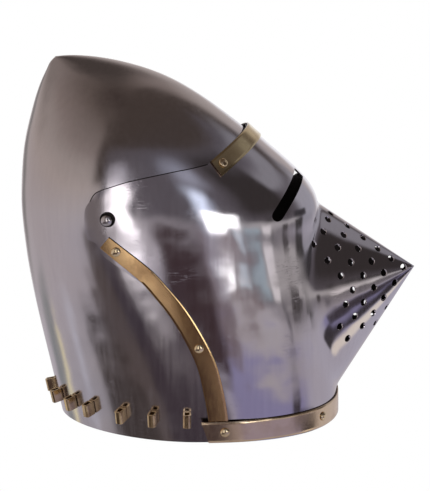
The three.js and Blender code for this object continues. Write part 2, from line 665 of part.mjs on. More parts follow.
// Brow strip: its rear edge lies on the straight side-view line from browEnd to browMiddle
const browWay = browMiddle.clone().sub(browEnd).normalize();
const browSide = new THREE.Vector2(browWay.y, -browWay.x).multiplyScalar(BROW_STRIP_WIDTH);
function browSpot(share, across) {
  const start = browEnd.clone().addScaledVector(browSide, across);
  const angle = share * angleAt(visorPoint, start.x, start.y);
  let low = start.y - BROW_STRIP_WIDTH;
  let high = browMiddle.y + BROW_STRIP_WIDTH / 2;
  for (let i = 0; i < 40; i++) {
    const height = (low + high) / 2;
    const { x } = visorPoint(angle, height);
    const above = (height - start.y) * browWay.x - (x - start.x) * browWay.y;
    if (above > 0) high = height;
    else low = height;
  }
  const height = (low + high) / 2;
  return { point: visorPoint(angle, height), normal: normalAt(visorPoint, angle, height) };
}
const browShares = Array.from({ length: BROW_STRIP_ROWS }, (_, i) => 2 * i / (BROW_STRIP_ROWS - 1) - 1);
strips.brow_strip = sheetSolid(browShares.map((share) => [1, 0].map((across) => browSpot(share, across))),
  STRIP_GAP, STRIP_GAP + STRIP, false);

const headLift = STRIP_GAP + STRIP + PIECE_GAP;
const oneGrip = SHEET + headLift;
for (const [side, word] of [[-1, 'right'], [1, 'left']]) {
  rivet(`brow_rivet_${word}`, browSpot(side * BROW_RIVET_PLACE, 0.5), headLift, oneGrip, ['brow_strip']);
  for (const [place, along] of Object.entries(SIDE_RIVETS)) {
    const spot = visorSpot(stripPlace(along, 0), side);
    rivet(`side_rivet_${place}_${word}`, spot, headLift, oneGrip, [`side_strip_${word}`]);
  }
  const rearSpot = visorSpot(new THREE.Vector2(CHIN_RIVETS.rear * REACH, chinMiddle), side);
  rivet(`chin_rivet_rear_${word}`, rearSpot, headLift + chinLift, oneGrip + chinLift,
    ['chin_band', `side_strip_${word}`]);
  const frontSpot = visorSpot(new THREE.Vector2(CHIN_RIVETS.front * REACH, chinMiddle), side);
  rivet(`chin_rivet_front_${word}`, frontSpot, headLift, oneGrip, ['chin_band']);
}

// Vervelles: staples of folded strip round the rear rim, each with a tang through the skull
function rimSpot(distance) {
  const step = 0.002;
  let angle = Math.PI;
  let walked = 0;
  let here = skullPoint(angle, PEG_HEIGHT);
  while (walked < Math.abs(distance)) {
    angle += step * Math.sign(distance);
    const next = skullPoint(angle, PEG_HEIGHT);
    walked += next.distanceTo(here);
    here = next;
  }
  return { point: here, normal: normalAt(skullPoint, angle, PEG_HEIGHT) };
}

function boxSolid(width, tall, from, to, matrix) {
  const box = new THREE.BoxGeometry(width, tall, to - from);
  box.translate(0, 0, (from + to) / 2);
  box.applyMatrix4(matrix);
  return solidFrom(box);
}

const pegPlaces = [...PEG_PLACES.slice(1).reverse().map((place) => -place), ...PEG_PLACES];
pegPlaces.forEach((place, i) => {
  const { point, normal } = rimSpot(place * PEG_PITCH);
  const stand = seat(point, normal);
  const foot = PIECE_GAP;
  const tip = foot + PEG_STAND;
  const tangEnd = -SHEET - PEG_TANG_TAIL;
  const block = boxSolid(PEG_WIDTH, PEG_TALL, foot, tip, stand);
  const eye = boxSolid(PEG_WIDTH - 2 * PEG_WALL, 2 * PEG_TALL, foot + PEG_WALL, tip - PEG_WALL, stand);
  const tang = boxSolid(PEG_TANG, PEG_TANG_TALL, tangEnd, foot + PEG_WALL / 2, stand);
  const number = String(i + 1).padStart(2, '0');
  helmet.add(meshOf(`vervelle_${number}`, block.subtract(eye).add(tang), brass));
  const slotWidth = PEG_TANG + 2 * PIECE_GAP;
  const slotTall = PEG_TANG_TALL + 2 * PIECE_GAP;
  skull = skull.subtract(boxSolid(slotWidth, slotTall, 2 * tangEnd, foot + PEG_WALL, stand));
});

helmet.add(meshOf('skull', skull, steel));
helmet.add(meshOf('visor', visor, steel));
for (const [name, solid] of Object.entries(strips)) {
  helmet.add(meshOf(name, solid, brass));
}

export default helmet;
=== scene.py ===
import bmesh
import bpy
import numpy as np
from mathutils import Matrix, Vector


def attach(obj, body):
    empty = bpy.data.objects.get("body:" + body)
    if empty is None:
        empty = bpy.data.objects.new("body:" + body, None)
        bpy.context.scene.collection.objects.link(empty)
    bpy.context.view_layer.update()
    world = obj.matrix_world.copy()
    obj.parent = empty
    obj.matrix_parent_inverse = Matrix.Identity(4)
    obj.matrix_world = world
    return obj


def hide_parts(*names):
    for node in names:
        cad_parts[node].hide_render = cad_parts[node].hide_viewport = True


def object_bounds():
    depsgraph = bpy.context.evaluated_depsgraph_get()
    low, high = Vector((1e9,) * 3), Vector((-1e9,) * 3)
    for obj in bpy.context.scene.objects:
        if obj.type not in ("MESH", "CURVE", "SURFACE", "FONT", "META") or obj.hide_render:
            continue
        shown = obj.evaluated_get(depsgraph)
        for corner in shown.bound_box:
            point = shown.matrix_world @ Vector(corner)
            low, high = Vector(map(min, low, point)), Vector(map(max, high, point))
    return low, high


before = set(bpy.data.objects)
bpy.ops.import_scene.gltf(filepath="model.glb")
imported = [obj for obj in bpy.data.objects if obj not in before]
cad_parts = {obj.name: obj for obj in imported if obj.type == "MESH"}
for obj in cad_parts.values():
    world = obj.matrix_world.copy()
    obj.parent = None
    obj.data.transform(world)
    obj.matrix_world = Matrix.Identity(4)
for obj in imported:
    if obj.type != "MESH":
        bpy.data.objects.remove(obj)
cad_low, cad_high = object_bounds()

# The skull: one bowl raised from steel sheet, high and pointed at the rear top, open below and at the
# face. The shape is a stack of rings from the rim to the apex; rings near the apex tilt backward.
reach, height, half_width, sheet = 175.5, 319.0, 104.0, 1.5
apex_station = 1.197
skull_rings = {
    "station": (0, 0.188, 0.376, 0.548, 0.600, 0.674, 0.768, 0.846, 0.956, 1.050, 1.122, 1.166, 1.197),
    "back": (-0.828, -0.898, -0.962, -0.996, -1, -0.995, -0.977, -0.949, -0.915, -0.883, -0.859,
             -0.842, -0.819),
    "back_height": (0, 0.188, 0.376, 0.548, 0.600, 0.674, 0.768, 0.834, 0.898, 0.942, 0.969, 0.985, 0.997),
    "front": (0.569, 0.540, 0.489, 0.449, 0.421, 0.346, 0.193, 0.039, -0.212, -0.440, -0.634, -0.753,
              -0.819),
    "front_height": (0, 0.188, 0.376, 0.548, 0.600, 0.674, 0.768, 0.838, 0.929, 0.977, 0.997, 1, 0.997),
    "width": (0.957, 0.978, 0.990, 0.999, 1, 0.978, 0.872, 0.722, 0.486, 0.289, 0.135, 0.052, 0),
    "centre": (0.505, 0.453, 0.392, 0.338, 0.337, 0.355, 0.405, 0.440, 0.445, 0.435, 0.430, 0.420, 0.420),
}
fullness = {
    "station": (0, 0.188, 0.376, 0.548, 0.690, 0.820, 1.197),
    "rear": (1.80, 1.88, 1.98, 2.05, 2.08, 2.10, 2.10),
    "front": (2.25, 2.22, 2.18, 2.12, 2.10, 2.10, 2.10),
    "visor": (2.35, 2.35, 2.40, 2.34, 2.20, 2.12, 2.12),
}


def smooth_curve(stations, values):
    """Natural cubic spline through values at rising stations, as a function of an array."""
    s, v = np.array(stations, float), np.array(values, float)
    count = len(s)
    rows, right = np.eye(count), np.zeros(count)
    step = np.diff(s)
    for i in range(1, count - 1):
        rows[i, i - 1:i + 2] = step[i - 1], 2 * (step[i - 1] + step[i]), step[i]
        right[i] = 6 * ((v[i + 1] - v[i]) / step[i] - (v[i] - v[i - 1]) / step[i - 1])
    bend = np.linalg.solve(rows, right)

    def at(t):
        k = np.clip(np.searchsorted(s, t) - 1, 0, count - 2)
        a = (s[k + 1] - t) / step[k]
        b = 1 - a
        curve = ((a ** 3 - a) * bend[k] + (b ** 3 - b) * bend[k + 1]) * step[k] ** 2 / 6
        return a * v[k] + b * v[k + 1] + curve

    return at


def curves(table, scale=None):
    scale = scale or {}
    return {key: smooth_curve(table["station"], np.array(table[key]) * scale.get(key, 1))
            for key in table if key != "station"}


ring = curves(skull_rings, {"back": reach, "front": reach, "back_height": height,
                            "front_height": height, "width": half_width})
full = curves(fullness)


def signed_power(value, exponent):
    return np.sign(value) * np.abs(value) ** exponent


def skull_point(angle, level):
    """Point of the skull's outside: angle 0 faces forward, a quarter turn is the wearer's left."""
    station = np.minimum(level / height, apex_station)
    power = np.where(np.cos(angle) > 0, full["front"](station), full["rear"](station))
    along = signed_power(np.cos(angle), 2 / power)
    across = signed_power(np.sin(angle), 2 / power)
    centre = ring["centre"](station)
    share = np.where(along > 0, centre + (1 - centre) * along, centre * (1 + along))
    back, low = ring["back"](station), ring["back_height"](station)
    return np.stack([back + (ring["front"](station) - back) * share,
                     ring["width"](station) * across,
                     low + (ring["front_height"](station) - low) * share], -1)


def outward(surface, angle, level):
    """Outward normal of a surface by small steps along its two directions."""
    turn, rise = 0.003, 0.3
    around = surface(angle + turn, level) - surface(angle - turn, level)
    up = surface(angle, level + rise) - surface(angle, np.maximum(level - rise, 0))
    normal = np.cross(around, up)
    return normal / np.maximum(np.linalg.norm(normal, axis=-1, keepdims=True), 1e-9)


def read(items, key, width=1, kind=float):
    """One property of a mesh's items as an array, in rows where it has more than one number."""
    values = np.zeros(width * len(items), kind)
    items.foreach_get(key, values)
    return values.reshape(-1, width) if width > 1 else values


def make_object(name, points, faces, body):
    """Mesh object from millimetre points, kept inside the frame's box, riding on a body of the helmet."""
    mesh = bpy.data.meshes.new(name)
    points = np.clip(np.asarray(points) * 0.001, cad_low, cad_high)
    mesh.from_pydata(points.tolist(), [], [list(f) for f in faces])
    mesh.validate()
    piece = bpy.data.objects.new(name, mesh)
    bpy.context.scene.collection.objects.link(piece)
    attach(piece, body)
    return piece


place_shift = 20


def steel_shell(name, surface, angles, levels, closed, body, crown=None):
    """Sheet of steel over a grid of (angle, level). The map "place" keeps each corner's angle and level,
    both raised by place_shift: positive outside, negative inside and 0 on the edges. So the normals can
    be set exactly after the cuts."""
    outer = surface(angles, levels)
    normals = outward(surface, angles, levels)
    normals[0, :, 2] = 0
    normals[0] /= np.linalg.norm(normals[0], axis=1, keepdims=True)
    rows, columns = angles.shape
    layer = rows * columns
    points = [outer.reshape(-1, 3), (outer - sheet * normals).reshape(-1, 3)]
    place = np.stack([angles.ravel(), levels.ravel()], 1) + place_shift
    place = np.concatenate([place, place])
    i, j = np.meshgrid(np.arange(rows - 1), np.arange(columns if closed else columns - 1), indexing="ij")
    a = (i * columns + j).ravel()
    b = (i * columns + (j + 1) % columns).ravel()
    c, d = b + columns, a + columns
    smooth = [*np.stack([a, b, c, d], 1).tolist(), *(np.stack([b, a, d, c], 1) + layer).tolist()]
    edge = []
    spans = columns if closed else columns - 1
    top = (rows - 1) * columns
    for j in range(spans):
        k = (j + 1) % columns
        edge.append([k, j, layer + j, layer + k])
        if crown is None:
            edge.append([top + j, top + k, layer + top + k, layer + top + j])
    if not closed:
        for i in range(rows - 1):
            low, high = i * columns, (i + 1) * columns
            edge.append([low, high, layer + high, layer + low])
            low, high = low + columns - 1, high + columns - 1
            edge.append([high, low, layer + low, layer + high])
    if crown is not None:
        tip, tip_normal = crown
        points += [tip[None], (tip - sheet * tip_normal)[None]]
        smooth += [[top + j, top + (j + 1) % columns, 2 * layer] for j in range(columns)]
        smooth += [[layer + top + (j + 1) % columns, layer + top + j, 2 * layer + 1]
                   for j in range(columns)]
        place = np.concatenate([place, [[place_shift, apex_station * height + place_shift]] * 2])
    shell = make_object(name, np.concatenate(points), smooth + edge, body)
    corners = read(shell.data.loops, "vertex_index", kind=int)
    values = place[corners]
    inside = ((corners >= layer) & (corners < 2 * layer)) | (corners == 2 * layer + 1)
    values[inside] *= -1
    flat = sum(len(f) for f in smooth)
    values[flat:] = 0
    first = np.cumsum([0] + [len(f) for f in smooth])
    if closed:
        for start, f in zip(first, smooth):
            own = values[start:start + len(f), 0]
            if np.ptp(np.abs(own)) > 3:  # the face spans the seam, where the angle starts again at 0
                next_turn = own + np.sign(own) * 2 * np.pi
                values[start:start + len(f), 0] = np.where(np.abs(own) < place_shift + 2, next_turn, own)
    shell.data.uv_layers.new(name="place").data.foreach_set("uv", values.ravel())
    return shell


def cut(piece, cutter, how):
    """Cuts a piece with another solid and keeps the result as the piece's own mesh."""
    tool = piece.modifiers.new("cut", "BOOLEAN")
    tool.object, tool.operation, tool.solver = cutter, how, "MANIFOLD"
    evaluated = piece.evaluated_get(bpy.context.evaluated_depsgraph_get())
    mesh = bpy.data.meshes.new_from_object(evaluated)
    mesh.materials.clear()
    piece.modifiers.clear()
    old, piece.data = piece.data, mesh
    bpy.data.meshes.remove(old)
    bpy.data.objects.remove(cutter)


def band_faces(rows, loop, base=0, stride=None):
    """Four-sided faces between neighbouring closed loops of points."""
    stride = stride or loop
    return [[base + i * stride + j, base + i * stride + (j + 1) % loop,
             base + (i + 1) * stride + (j + 1) % loop, base + (i + 1) * stride + j]
            for i in range(rows - 1) for j in range(loop)]


def cap_faces(rows, loop, base=0):
    """The two end faces of a stack of loops."""
    last = base + (rows - 1) * loop
    return [[base + j for j in range(loop)][::-1], [last + j for j in range(loop)]]


def side_prism(name, outline, near, far):
    """Solid along Y with a side-view outline of (x, z) points, between two distances from the middle."""
    count = len(outline)
    points = [(x, y, z) for y in (near, far) for x, z in outline]
    faces = band_faces(2, count) + cap_faces(2, count)
    area = sum(outline[i][0] * outline[i - 1][1] - outline[i - 1][0] * outline[i][1] for i in range(count))
    faces = faces if area > 0 else [f[::-1] for f in faces]
    mesh = bpy.data.meshes.new(name)
    mesh.from_pydata([[0.001 * value for value in p] for p in points], [], faces)
    prism = bpy.data.objects.new(name, mesh)
    bpy.context.scene.collection.objects.link(prism)
    return prism


def exact_normals(piece, surface, painted_shade_at, rims_only=False):
    """Sets the normals of the sheet's two faces from the surface itself; cut edges stay flat. The inside
    gets the second, dark finish, and so does what the given picker chooses by its centre, of the cut edges
    or of all: there the dark finish is painted shade."""
    mesh = piece.data
    place = read(mesh.uv_layers["place"].data, "uv", 2)
    inside = place[:, 0] < 0
    angle, level = (np.abs(place) - place_shift).T
    normals = outward(surface, angle, np.clip(level, 0, apex_station * height))
    normals[inside] *= -1
    starts, sizes = (read(mesh.polygons, key, kind=int) for key in ("loop_start", "loop_total"))
    own = np.repeat(read(mesh.polygons, "normal", 3), sizes, 0)
    order = np.repeat(starts, sizes) + np.arange(len(own)) - np.repeat(np.cumsum(sizes) - sizes, sizes)
    normals = normals[order]
    edge = (np.abs(place[order]).min(1) < 1) | ((normals * own).sum(1) < 0.4)
    normals[edge] = own[edge]
    faces = np.repeat(np.arange(len(sizes)), sizes)
    within = np.bincount(faces, inside[order] & ~edge, len(sizes)) > 0.5 * sizes
    rims = np.bincount(faces, edge, len(sizes)) > 0.5 * sizes
    within |= painted_shade_at(read(mesh.polygons, "center", 3) * 1000) & (rims | (not rims_only))
    mesh.polygons.foreach_set("material_index", within.astype(int))
    ready = np.zeros_like(normals)
    ready[order] = normals
    mesh.polygons.foreach_set("use_smooth", np.ones(len(mesh.polygons), bool))
    mesh.normals_split_custom_set(ready.tolist())
    mesh.uv_layers.remove(mesh.uv_layers["place"])


def through_points(points, steps=8):
    """Curve through side-view points, with even steps between them."""
    p = np.array(points, float)
    where = np.linspace(0, len(p) - 1, steps * (len(p) - 1) + 1)
    return curve_at(p, where / (len(p) - 1))


def curve_at(p, share):
    """Place on the smooth curve through points p, at a share of the way along them."""
    place = np.clip(np.asarray(share, float), 0, 1) * (len(p) - 1)
    k = np.minimum(np.floor(place).astype(int), len(p) - 2)
    t = (place - k)[..., None]
    before, start, end = p[np.maximum(k - 1, 0)], p[k], p[k + 1]
    after = p[np.minimum(k + 2, len(p) - 1)]
    leave, arrive = (end - before) / 2, (after - start) / 2
    return ((2 * start - 2 * end + leave + arrive) * t ** 3
            + (3 * end - 3 * start - 2 * leave - arrive) * t ** 2 + leave * t + start)


side_scale, beyond = np.array([reach, height]), 100
skull_levels = np.concatenate([np.linspace(0, 0.7, 84), np.linspace(0.7, 1.18, 72)[1:]]) * height
skull_turns = np.linspace(0, 2 * np.pi, 232, endpoint=False)
grid_levels, grid_turns = np.meshgrid(skull_levels, skull_turns, indexing="ij")
crown_point = skull_point(np.array(0.0), np.array(apex_station * height))
crown_normal = np.array([-0.45, 0, 0.89])
skull = steel_shell("steel_skull", skull_point, grid_turns, grid_levels, True, "skull",
                    (crown_point, crown_normal / np.linalg.norm(crown_normal)))
face_edge = through_points(np.array([
    (0.148, -0.030), (0.080, 0.188), (0.040, 0.320), (0.040, 0.440), (0.085, 0.564), (0.170, 0.643),
    (0.262, 0.688)]) * side_scale)
face_top = 0.704 * height
face_outline = [tuple(p) for p in face_edge]
face_outline += [(face_edge[-1][0] + 10, face_top), (reach, face_top), (reach, face_edge[0][1])]
cut(skull, side_prism("face opening", face_outline, -2 * half_width, 2 * half_width), "DIFFERENCE")
# Pivot centre, and the radius round it in which the skull is painted dark as shade
pivot, stud_shade_radius = np.array([-91.8, 189.7]), 9.5


def painted_stud_shade(centres):
    """Round the studs, where the skull is painted dark as shade that shows through the visor's oversize
    ear holes.
    """
    return np.linalg.norm(centres[:, [0, 2]] - pivot, axis=1) < stud_shade_radius


exact_normals(skull, skull_point, painted_stud_shade)
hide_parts("skull")


def new_material(name, colour, roughness, owner):
    """Metal put on its owners, with its own colour and roughness as a start."""
    material = bpy.data.materials.new(name)
    material.use_nodes = True
    metal = material.node_tree.nodes["Principled BSDF"]
    metal.inputs["Base Color"].default_value = (*colour, 1)
    metal.inputs["Metallic"].default_value = 1
    metal.inputs["Roughness"].default_value = roughness
    for piece in owner:
        piece.data.materials.append(material)
    return material.node_tree, metal


def effect_group(name, inputs, outputs):
    """Shader group whose inputs are {name: value} and whose outputs are names, all numbers or colours."""
    group = bpy.data.node_groups.new(name, "ShaderNodeTree")
    for key, value in inputs.items():
        kind = "NodeSocketColor" if isinstance(value, tuple) else "NodeSocketFloat"
        socket = group.interface.new_socket(name=key, in_out="INPUT", socket_type=kind)
        socket.default_value = (*value, 1) if isinstance(value, tuple) else value
    for key in outputs:
        kind = "NodeSocketColor" if key == "Colour" else "NodeSocketFloat"
        group.interface.new_socket(name=key, in_out="OUTPUT", socket_type=kind)
    start, end = group.nodes.new("NodeGroupInput"), group.nodes.new("NodeGroupOutput")
    return group, start, end


def put(links, value, socket):
    """Feeds a socket from another node's output, or from a plain value."""
    if hasattr(value, "is_output"):
        links.new(value, socket)
    else:
        socket.default_value = value


def place_group(tree, group, values):
    """An effect group placed in a material, with the material's own values."""
    node = tree.nodes.new("ShaderNodeGroup")
    node.node_tree = group
    for key, value in values.items():
        node.inputs[key].default_value = (*value, 1) if isinstance(value, tuple) else value
    return node


def add_relief(tree, metal, height, distance):
    """Bump from a height, with its distance in metres."""
    bump = tree.nodes.new("ShaderNodeBump")
    bump.inputs["Distance"].default_value = distance
    tree.links.new(height, bump.inputs["Height"])
    tree.links.new(bump.outputs[0], metal.inputs["Normal"])


def sums(tree, how, *values):
    """Arithmetic on outputs and plain numbers."""
    node = tree.nodes.new("ShaderNodeMath")
    node.operation = how
    for slot, value in enumerate(values):
        put(tree.links, value, node.inputs[slot])
    return node.outputs[0]


def grain(tree, scale, detail=3.0, stretch=(1, 1, 1), roughness=0.5):
    """Noise in the piece's own coordinates, in metres, stretched along its axes."""
    place = tree.nodes.new("ShaderNodeTexCoord")
    mapping = tree.nodes.new("ShaderNodeMapping")
    mapping.inputs["Scale"].default_value = stretch
    tree.links.new(place.outputs["Object"], mapping.inputs["Vector"])
    noise = tree.nodes.new("ShaderNodeTexNoise")
    tree.links.new(mapping.outputs[0], noise.inputs["Vector"])
    put(tree.links, scale, noise.inputs["Scale"])
    noise.inputs["Detail"].default_value = detail
    noise.inputs["Roughness"].default_value = roughness
    return noise.outputs["Fac"]


def spread(tree, value, low, high, to_low, to_high):
    """Value between low and high turned into a value between to_low and to_high."""
    node = tree.nodes.new("ShaderNodeMapRange")
    for key, number in (("Value", value), ("From Min", low), ("From Max", high), ("To Min", to_low),
                        ("To Max", to_high)):
        put(tree.links, number, node.inputs[key])
    return node.outputs[0]


def blend(tree, share, one, other, how="MIX"):
    """Colour mixed from two colours or outputs."""
    node = tree.nodes.new("ShaderNodeMix")
    node.data_type, node.blend_type = "RGBA", how
    put(tree.links, share, node.inputs[0])
    for colour, socket in ((one, node.inputs[6]), (other, node.inputs[7])):
        put(tree.links, (*colour, 1) if isinstance(colour, tuple) else colour, socket)
    return node.outputs[2]


# Hand finish of the steel: upright grinding streaks, soft hollows left by the planishing hammer, and
# scratches from handling that run across them.
hand_finish, start, end = effect_group(
    "hand_finish", {"Streaks": 260.0, "Streak depth": 0.06, "Hollows": 26.0, "Hollow depth": 1.0,
                    "Scratches": 0.5}, ["Height", "Streaks"])
streaks = grain(hand_finish, start.outputs["Streaks"], 4, (1, 1, 0.05), 0.6)
hollows = grain(hand_finish, start.outputs["Hollows"], 1.5)
thin = sums(hand_finish, "SUBTRACT", grain(hand_finish, 55, 2, (1, 1, 9), 0.4), 0.5)
lines = spread(hand_finish, sums(hand_finish, "ABSOLUTE", thin), 0.0, 0.006, 1, 0)
few = spread(hand_finish, grain(hand_finish, 34, 1), 0.56, 0.66, 0, 1)
scratches = sums(hand_finish, "MULTIPLY", lines, few)
scratches = sums(hand_finish, "MULTIPLY", scratches, start.outputs["Scratches"])
relief = sums(hand_finish, "ADD", sums(hand_finish, "MULTIPLY", streaks, start.outputs["Streak depth"]),
              sums(hand_finish, "MULTIPLY", hollows, start.outputs["Hollow depth"]))
relief = sums(hand_finish, "SUBTRACT", relief, sums(hand_finish, "MULTIPLY", scratches, 0.03))
hand_finish.links.new(relief, end.inputs["Height"])
hand_finish.links.new(streaks, end.inputs["Streaks"])

# Heat tint: the steel is browned and blued in soft clouds, and a little darker along the streaks.
heat_tint, start, end = effect_group(
    "heat_tint", {"Steel": (0.6, 0.57, 0.56), "Brown": (0.45, 0.36, 0.32), "Blue": (0.5, 0.52, 0.62),
                  "Clouds": 7.0, "Amount": 0.5, "Streaks": 0.5}, ["Colour"])
clouds = grain(heat_tint, start.outputs["Clouds"], 2)
brown = sums(heat_tint, "MULTIPLY", spread(heat_tint, clouds, 0.5, 0.68, 0, 1), start.outputs["Amount"])
blue = sums(heat_tint, "MULTIPLY", spread(heat_tint, clouds, 0.48, 0.32, 0, 1), start.outputs["Amount"])
tint = blend(heat_tint, brown, start.outputs["Steel"], start.outputs["Brown"])
tint = blend(heat_tint, blue, tint, start.outputs["Blue"])
shade = spread(heat_tint, start.outputs["Streaks"], 0.3, 0.7, 0.965, 1.02)
grey = heat_tint.nodes.new("ShaderNodeCombineColor")
for slot in range(3):
    heat_tint.links.new(shade, grey.inputs[slot])
heat_tint.links.new(blend(heat_tint, 1.0, tint, grey.outputs[0], "MULTIPLY"), end.inputs["Colour"])


def steel_material(name, owner, colours, finish, clouds, roughness, bump):
    """Polished steel of three colours: plain, browned and blued. The rougher value is along streaks."""
    tree, metal = new_material(name, colours[0], sum(roughness) / 2, owner)
    streaks = place_group(tree, hand_finish, finish)
    tint = place_group(tree, heat_tint, {**dict(zip(("Steel", "Brown", "Blue"), colours)), **clouds})
    tree.links.new(streaks.outputs["Streaks"], tint.inputs["Streaks"])
    tree.links.new(tint.outputs["Colour"], metal.inputs["Base Color"])
    rough = spread(tree, streaks.outputs["Streaks"], 0.3, 0.7, *roughness)
    tree.links.new(rough, metal.inputs["Roughness"])
    add_relief(tree, metal, streaks.outputs["Height"], bump)


steel_material("skull_steel_polish", [skull], ((0.60, 0.56, 0.55), (0.50, 0.43, 0.40), (0.56, 0.56, 0.62)),
               {"Streak depth": 0.0025, "Hollow depth": 1.2, "Scratches": 0.5},
               {"Clouds": 6.0, "Amount": 0.5}, (0.14, 0.19), 0.0006)


def dark_inside_and_painted_shade(name, owner, colour):
    """The unpolished inside, left dark from the forge, with scale in the hammer's hollows. The same dark
    finish is also painted shade: round the studs, on the cut edges behind the snout and on the seam
    ribbon.
    """
    tree, metal = new_material(name, colour, 0.6, owner)
    hollows = place_group(tree, hand_finish, {"Hollows": 70.0}).outputs["Height"]
    tree.links.new(spread(tree, hollows, 0.0, 1.0, 0.48, 0.72), metal.inputs["Roughness"])
    add_relief(tree, metal, hollows, 0.0008)


dark_inside_and_painted_shade("skull_inside_and_stud_shade", [skull], (0.055, 0.047, 0.043))

# The visor: one sheet over the whole face, drawn out into a conical snout. Two eye slits and sixty-two
# breath holes are punched through, and a round ear with an oversize hole hangs on each pivot stud.
fit, face_room, ear_fullness = sheet + 1.4, 10.0, 0.3
face_standoff = {
    "station": (0, 0.063, 0.188, 0.376, 0.533, 0.595, 0.643, 0.687, 0.737, 0.784, 0.821),
    "room": (0.40, 0.48, 0.24, 0.29, 0.52, 0.95, 1.07, 0.82, 0.44, 0.20, 0.15),
}
standoff = curves(face_standoff, {"room": face_room})["room"]
snout_rise, snout_tall, snout_wide = np.radians(12.3), np.tan(np.radians(45.7)), np.tan(np.radians(29.9))
snout_tip, snout_depth = 130.9, 100.0
root_softness, soft_by, fade_from, fade_over = 5, 26, 32, 14


def visor_axis(level):
    """Upright axis about which the visor's angle turns, as x at a level."""
    station = level / height
    back = ring["back"](station)
    return back + (ring["front"](station) - back) * ring["centre"](station)


def face_radius(angle, level):
    """Distance from the visor's axis to the sheet as it would be without a snout."""
    station, axis = level / height, visor_axis(level)
    facing = np.cos(angle) > 0
    power = np.where(facing, full["visor"](station), full["rear"](station) + ear_fullness)
    front = ring["front"](station) + fit + standoff(station) - axis
    rear = axis - ring["back"](station) + fit
    along = np.abs(np.cos(angle)) / np.where(facing, front, rear)
    across = np.abs(np.sin(angle)) / (ring["width"](station) + fit)
    return (along ** power + across ** power) ** (-1 / power)


def snout_radius(angle, level):
    """Distance from the visor's axis to the cone of the snout; 0 above and below the cone."""
    back, up = visor_axis(level) - reach, level - snout_tip
    depth = -(back * np.cos(snout_rise) + up * np.sin(snout_rise))
    rise = (up * np.cos(snout_rise) - back * np.sin(snout_rise)) / snout_tall
    depth_step = -np.cos(angle) * np.cos(snout_rise)
    rise_step = -np.cos(angle) * np.sin(snout_rise) / snout_tall
    a = rise_step ** 2 + (np.sin(angle) / snout_wide) ** 2 - depth_step ** 2
    b = 2 * (rise * rise_step - depth * depth_step)
    c = rise ** 2 - depth ** 2
    root = np.sqrt(np.maximum(b * b - 4 * a * c, 0))
    far = 4 * reach
    ways = np.stack([(-b + root) / (2 * a), (-b - root) / (2 * a)])
    ways = np.where((ways > 0) & (depth + depth_step * ways > -1e-6), ways, far)
    return np.where(c > 0, 0, np.minimum(ways.min(0), far))


def visor_point(angle, level):
    """Point of the visor's outside. The snout grows out of the face with a hollow root, which is crisp in
    the middle and softer to the sides, and it is gone before the ears."""
    face = face_radius(angle, level)
    turn = np.abs(np.degrees(angle))
    root = 1 + root_softness * np.minimum(turn / soft_by, 1) ** 2
    excess = (snout_radius(angle, level) - face) / root
    swell = np.where(excess > 30, excess, np.log1p(np.exp(np.minimum(excess, 30))))
    fade = np.clip((turn - fade_from) / fade_over, 0, 1)
    radius = face + (1 - fade * fade * (3 - 2 * fade)) * root * swell
    return np.stack([visor_axis(level) + radius * np.cos(angle), radius * np.sin(angle),
                     level + 0 * radius], -1)


def angle_at(x, level):
    """Angle at which the visor passes a side view's x at a level, on the wearer's left."""
    ahead, behind = np.zeros(np.shape(x)), np.full(np.shape(x), np.pi)
    for _ in range(40):
        middle = (ahead + behind) / 2
        past = visor_point(middle, level)[..., 0] > x
        ahead, behind = np.where(past, middle, ahead), np.where(past, behind, middle)
    return (ahead + behind) / 2


def visor_spot(x, level, side):
    """Point and normal of the visor at a side view's x and level, on one side."""
    angle = angle_at(x, level) * side
    return visor_point(angle, level), outward(visor_point, angle, level)


def punch(name, points, normals, profile, sides=20):
    """Turned tools along their own normals: profile lists (radius, distance along the normal)."""
    verts, faces = [], []
    for point, normal in zip(points, normals):
        level = np.cross((0, 0, 1), normal)
        level /= np.linalg.norm(level)
        up = np.cross(normal, level)
        base = len(verts)
        for radius, along in profile:
            for i in range(sides):
                turn = 2 * np.pi * i / sides
                verts.append(point + normal * along + radius * (np.cos(turn) * level + np.sin(turn) * up))
        faces += band_faces(len(profile), sides, base) + cap_faces(len(profile), sides, base)
    mesh = bpy.data.meshes.new(name)
    mesh.from_pydata((np.array(verts) * 0.001).tolist(), [], faces)
    tool = bpy.data.objects.new(name, mesh)
    bpy.context.scene.collection.objects.link(tool)
    return tool


both_sides = ((-1, "right"), (1, "left"))
crease_low, crease_high, ear_end = 11, 26, 128
visor_levels = np.concatenate([
    # lowest and highest level and how many, from the chin over the snout and the eye slits to the brow
    np.linspace(0.3, 112, 46), np.linspace(114, snout_tip, 10), np.linspace(132.6, 160, 16),
    np.linspace(162, 214, 30), np.linspace(216, 266, 24)])
cheek_turns = np.linspace(0, 1, 60)[:, None]
ear_turns = np.linspace(0, 1, 76)[1:, None]
trial = np.radians(np.linspace(0.5, 40, 80))[:, None]
raised = np.maximum(visor_levels, 20)
crease = np.clip(0.5 * (snout_radius(trial, raised) <= face_radius(trial, raised)).argmax(0),
                 crease_low, crease_high)
crease = np.convolve(np.pad(crease, 3, "edge"), np.ones(7) / 7, "valid")
half_turns = np.concatenate([cheek_turns * crease, crease + ear_turns * (ear_end - crease)])
turn_grid = np.radians(np.concatenate([-half_turns[:0:-1], half_turns])).T
level_grid = np.repeat(visor_levels[:, None], turn_grid.shape[1], 1)
visor = steel_shell("steel_visor", visor_point, turn_grid, level_grid, False, "visor")

strip_line = np.array([
    (-0.533, 0.539), (-0.468, 0.509), (-0.353, 0.456), (-0.279, 0.411), (-0.195, 0.351), (-0.114, 0.274),
    (-0.062, 0.207), (-0.030, 0.133), (-0.010, 0.062), (-0.004, 0.000)]) * side_scale
strip_narrow, strip_wide, strip_widening = 11.5, 16.5, 1.3


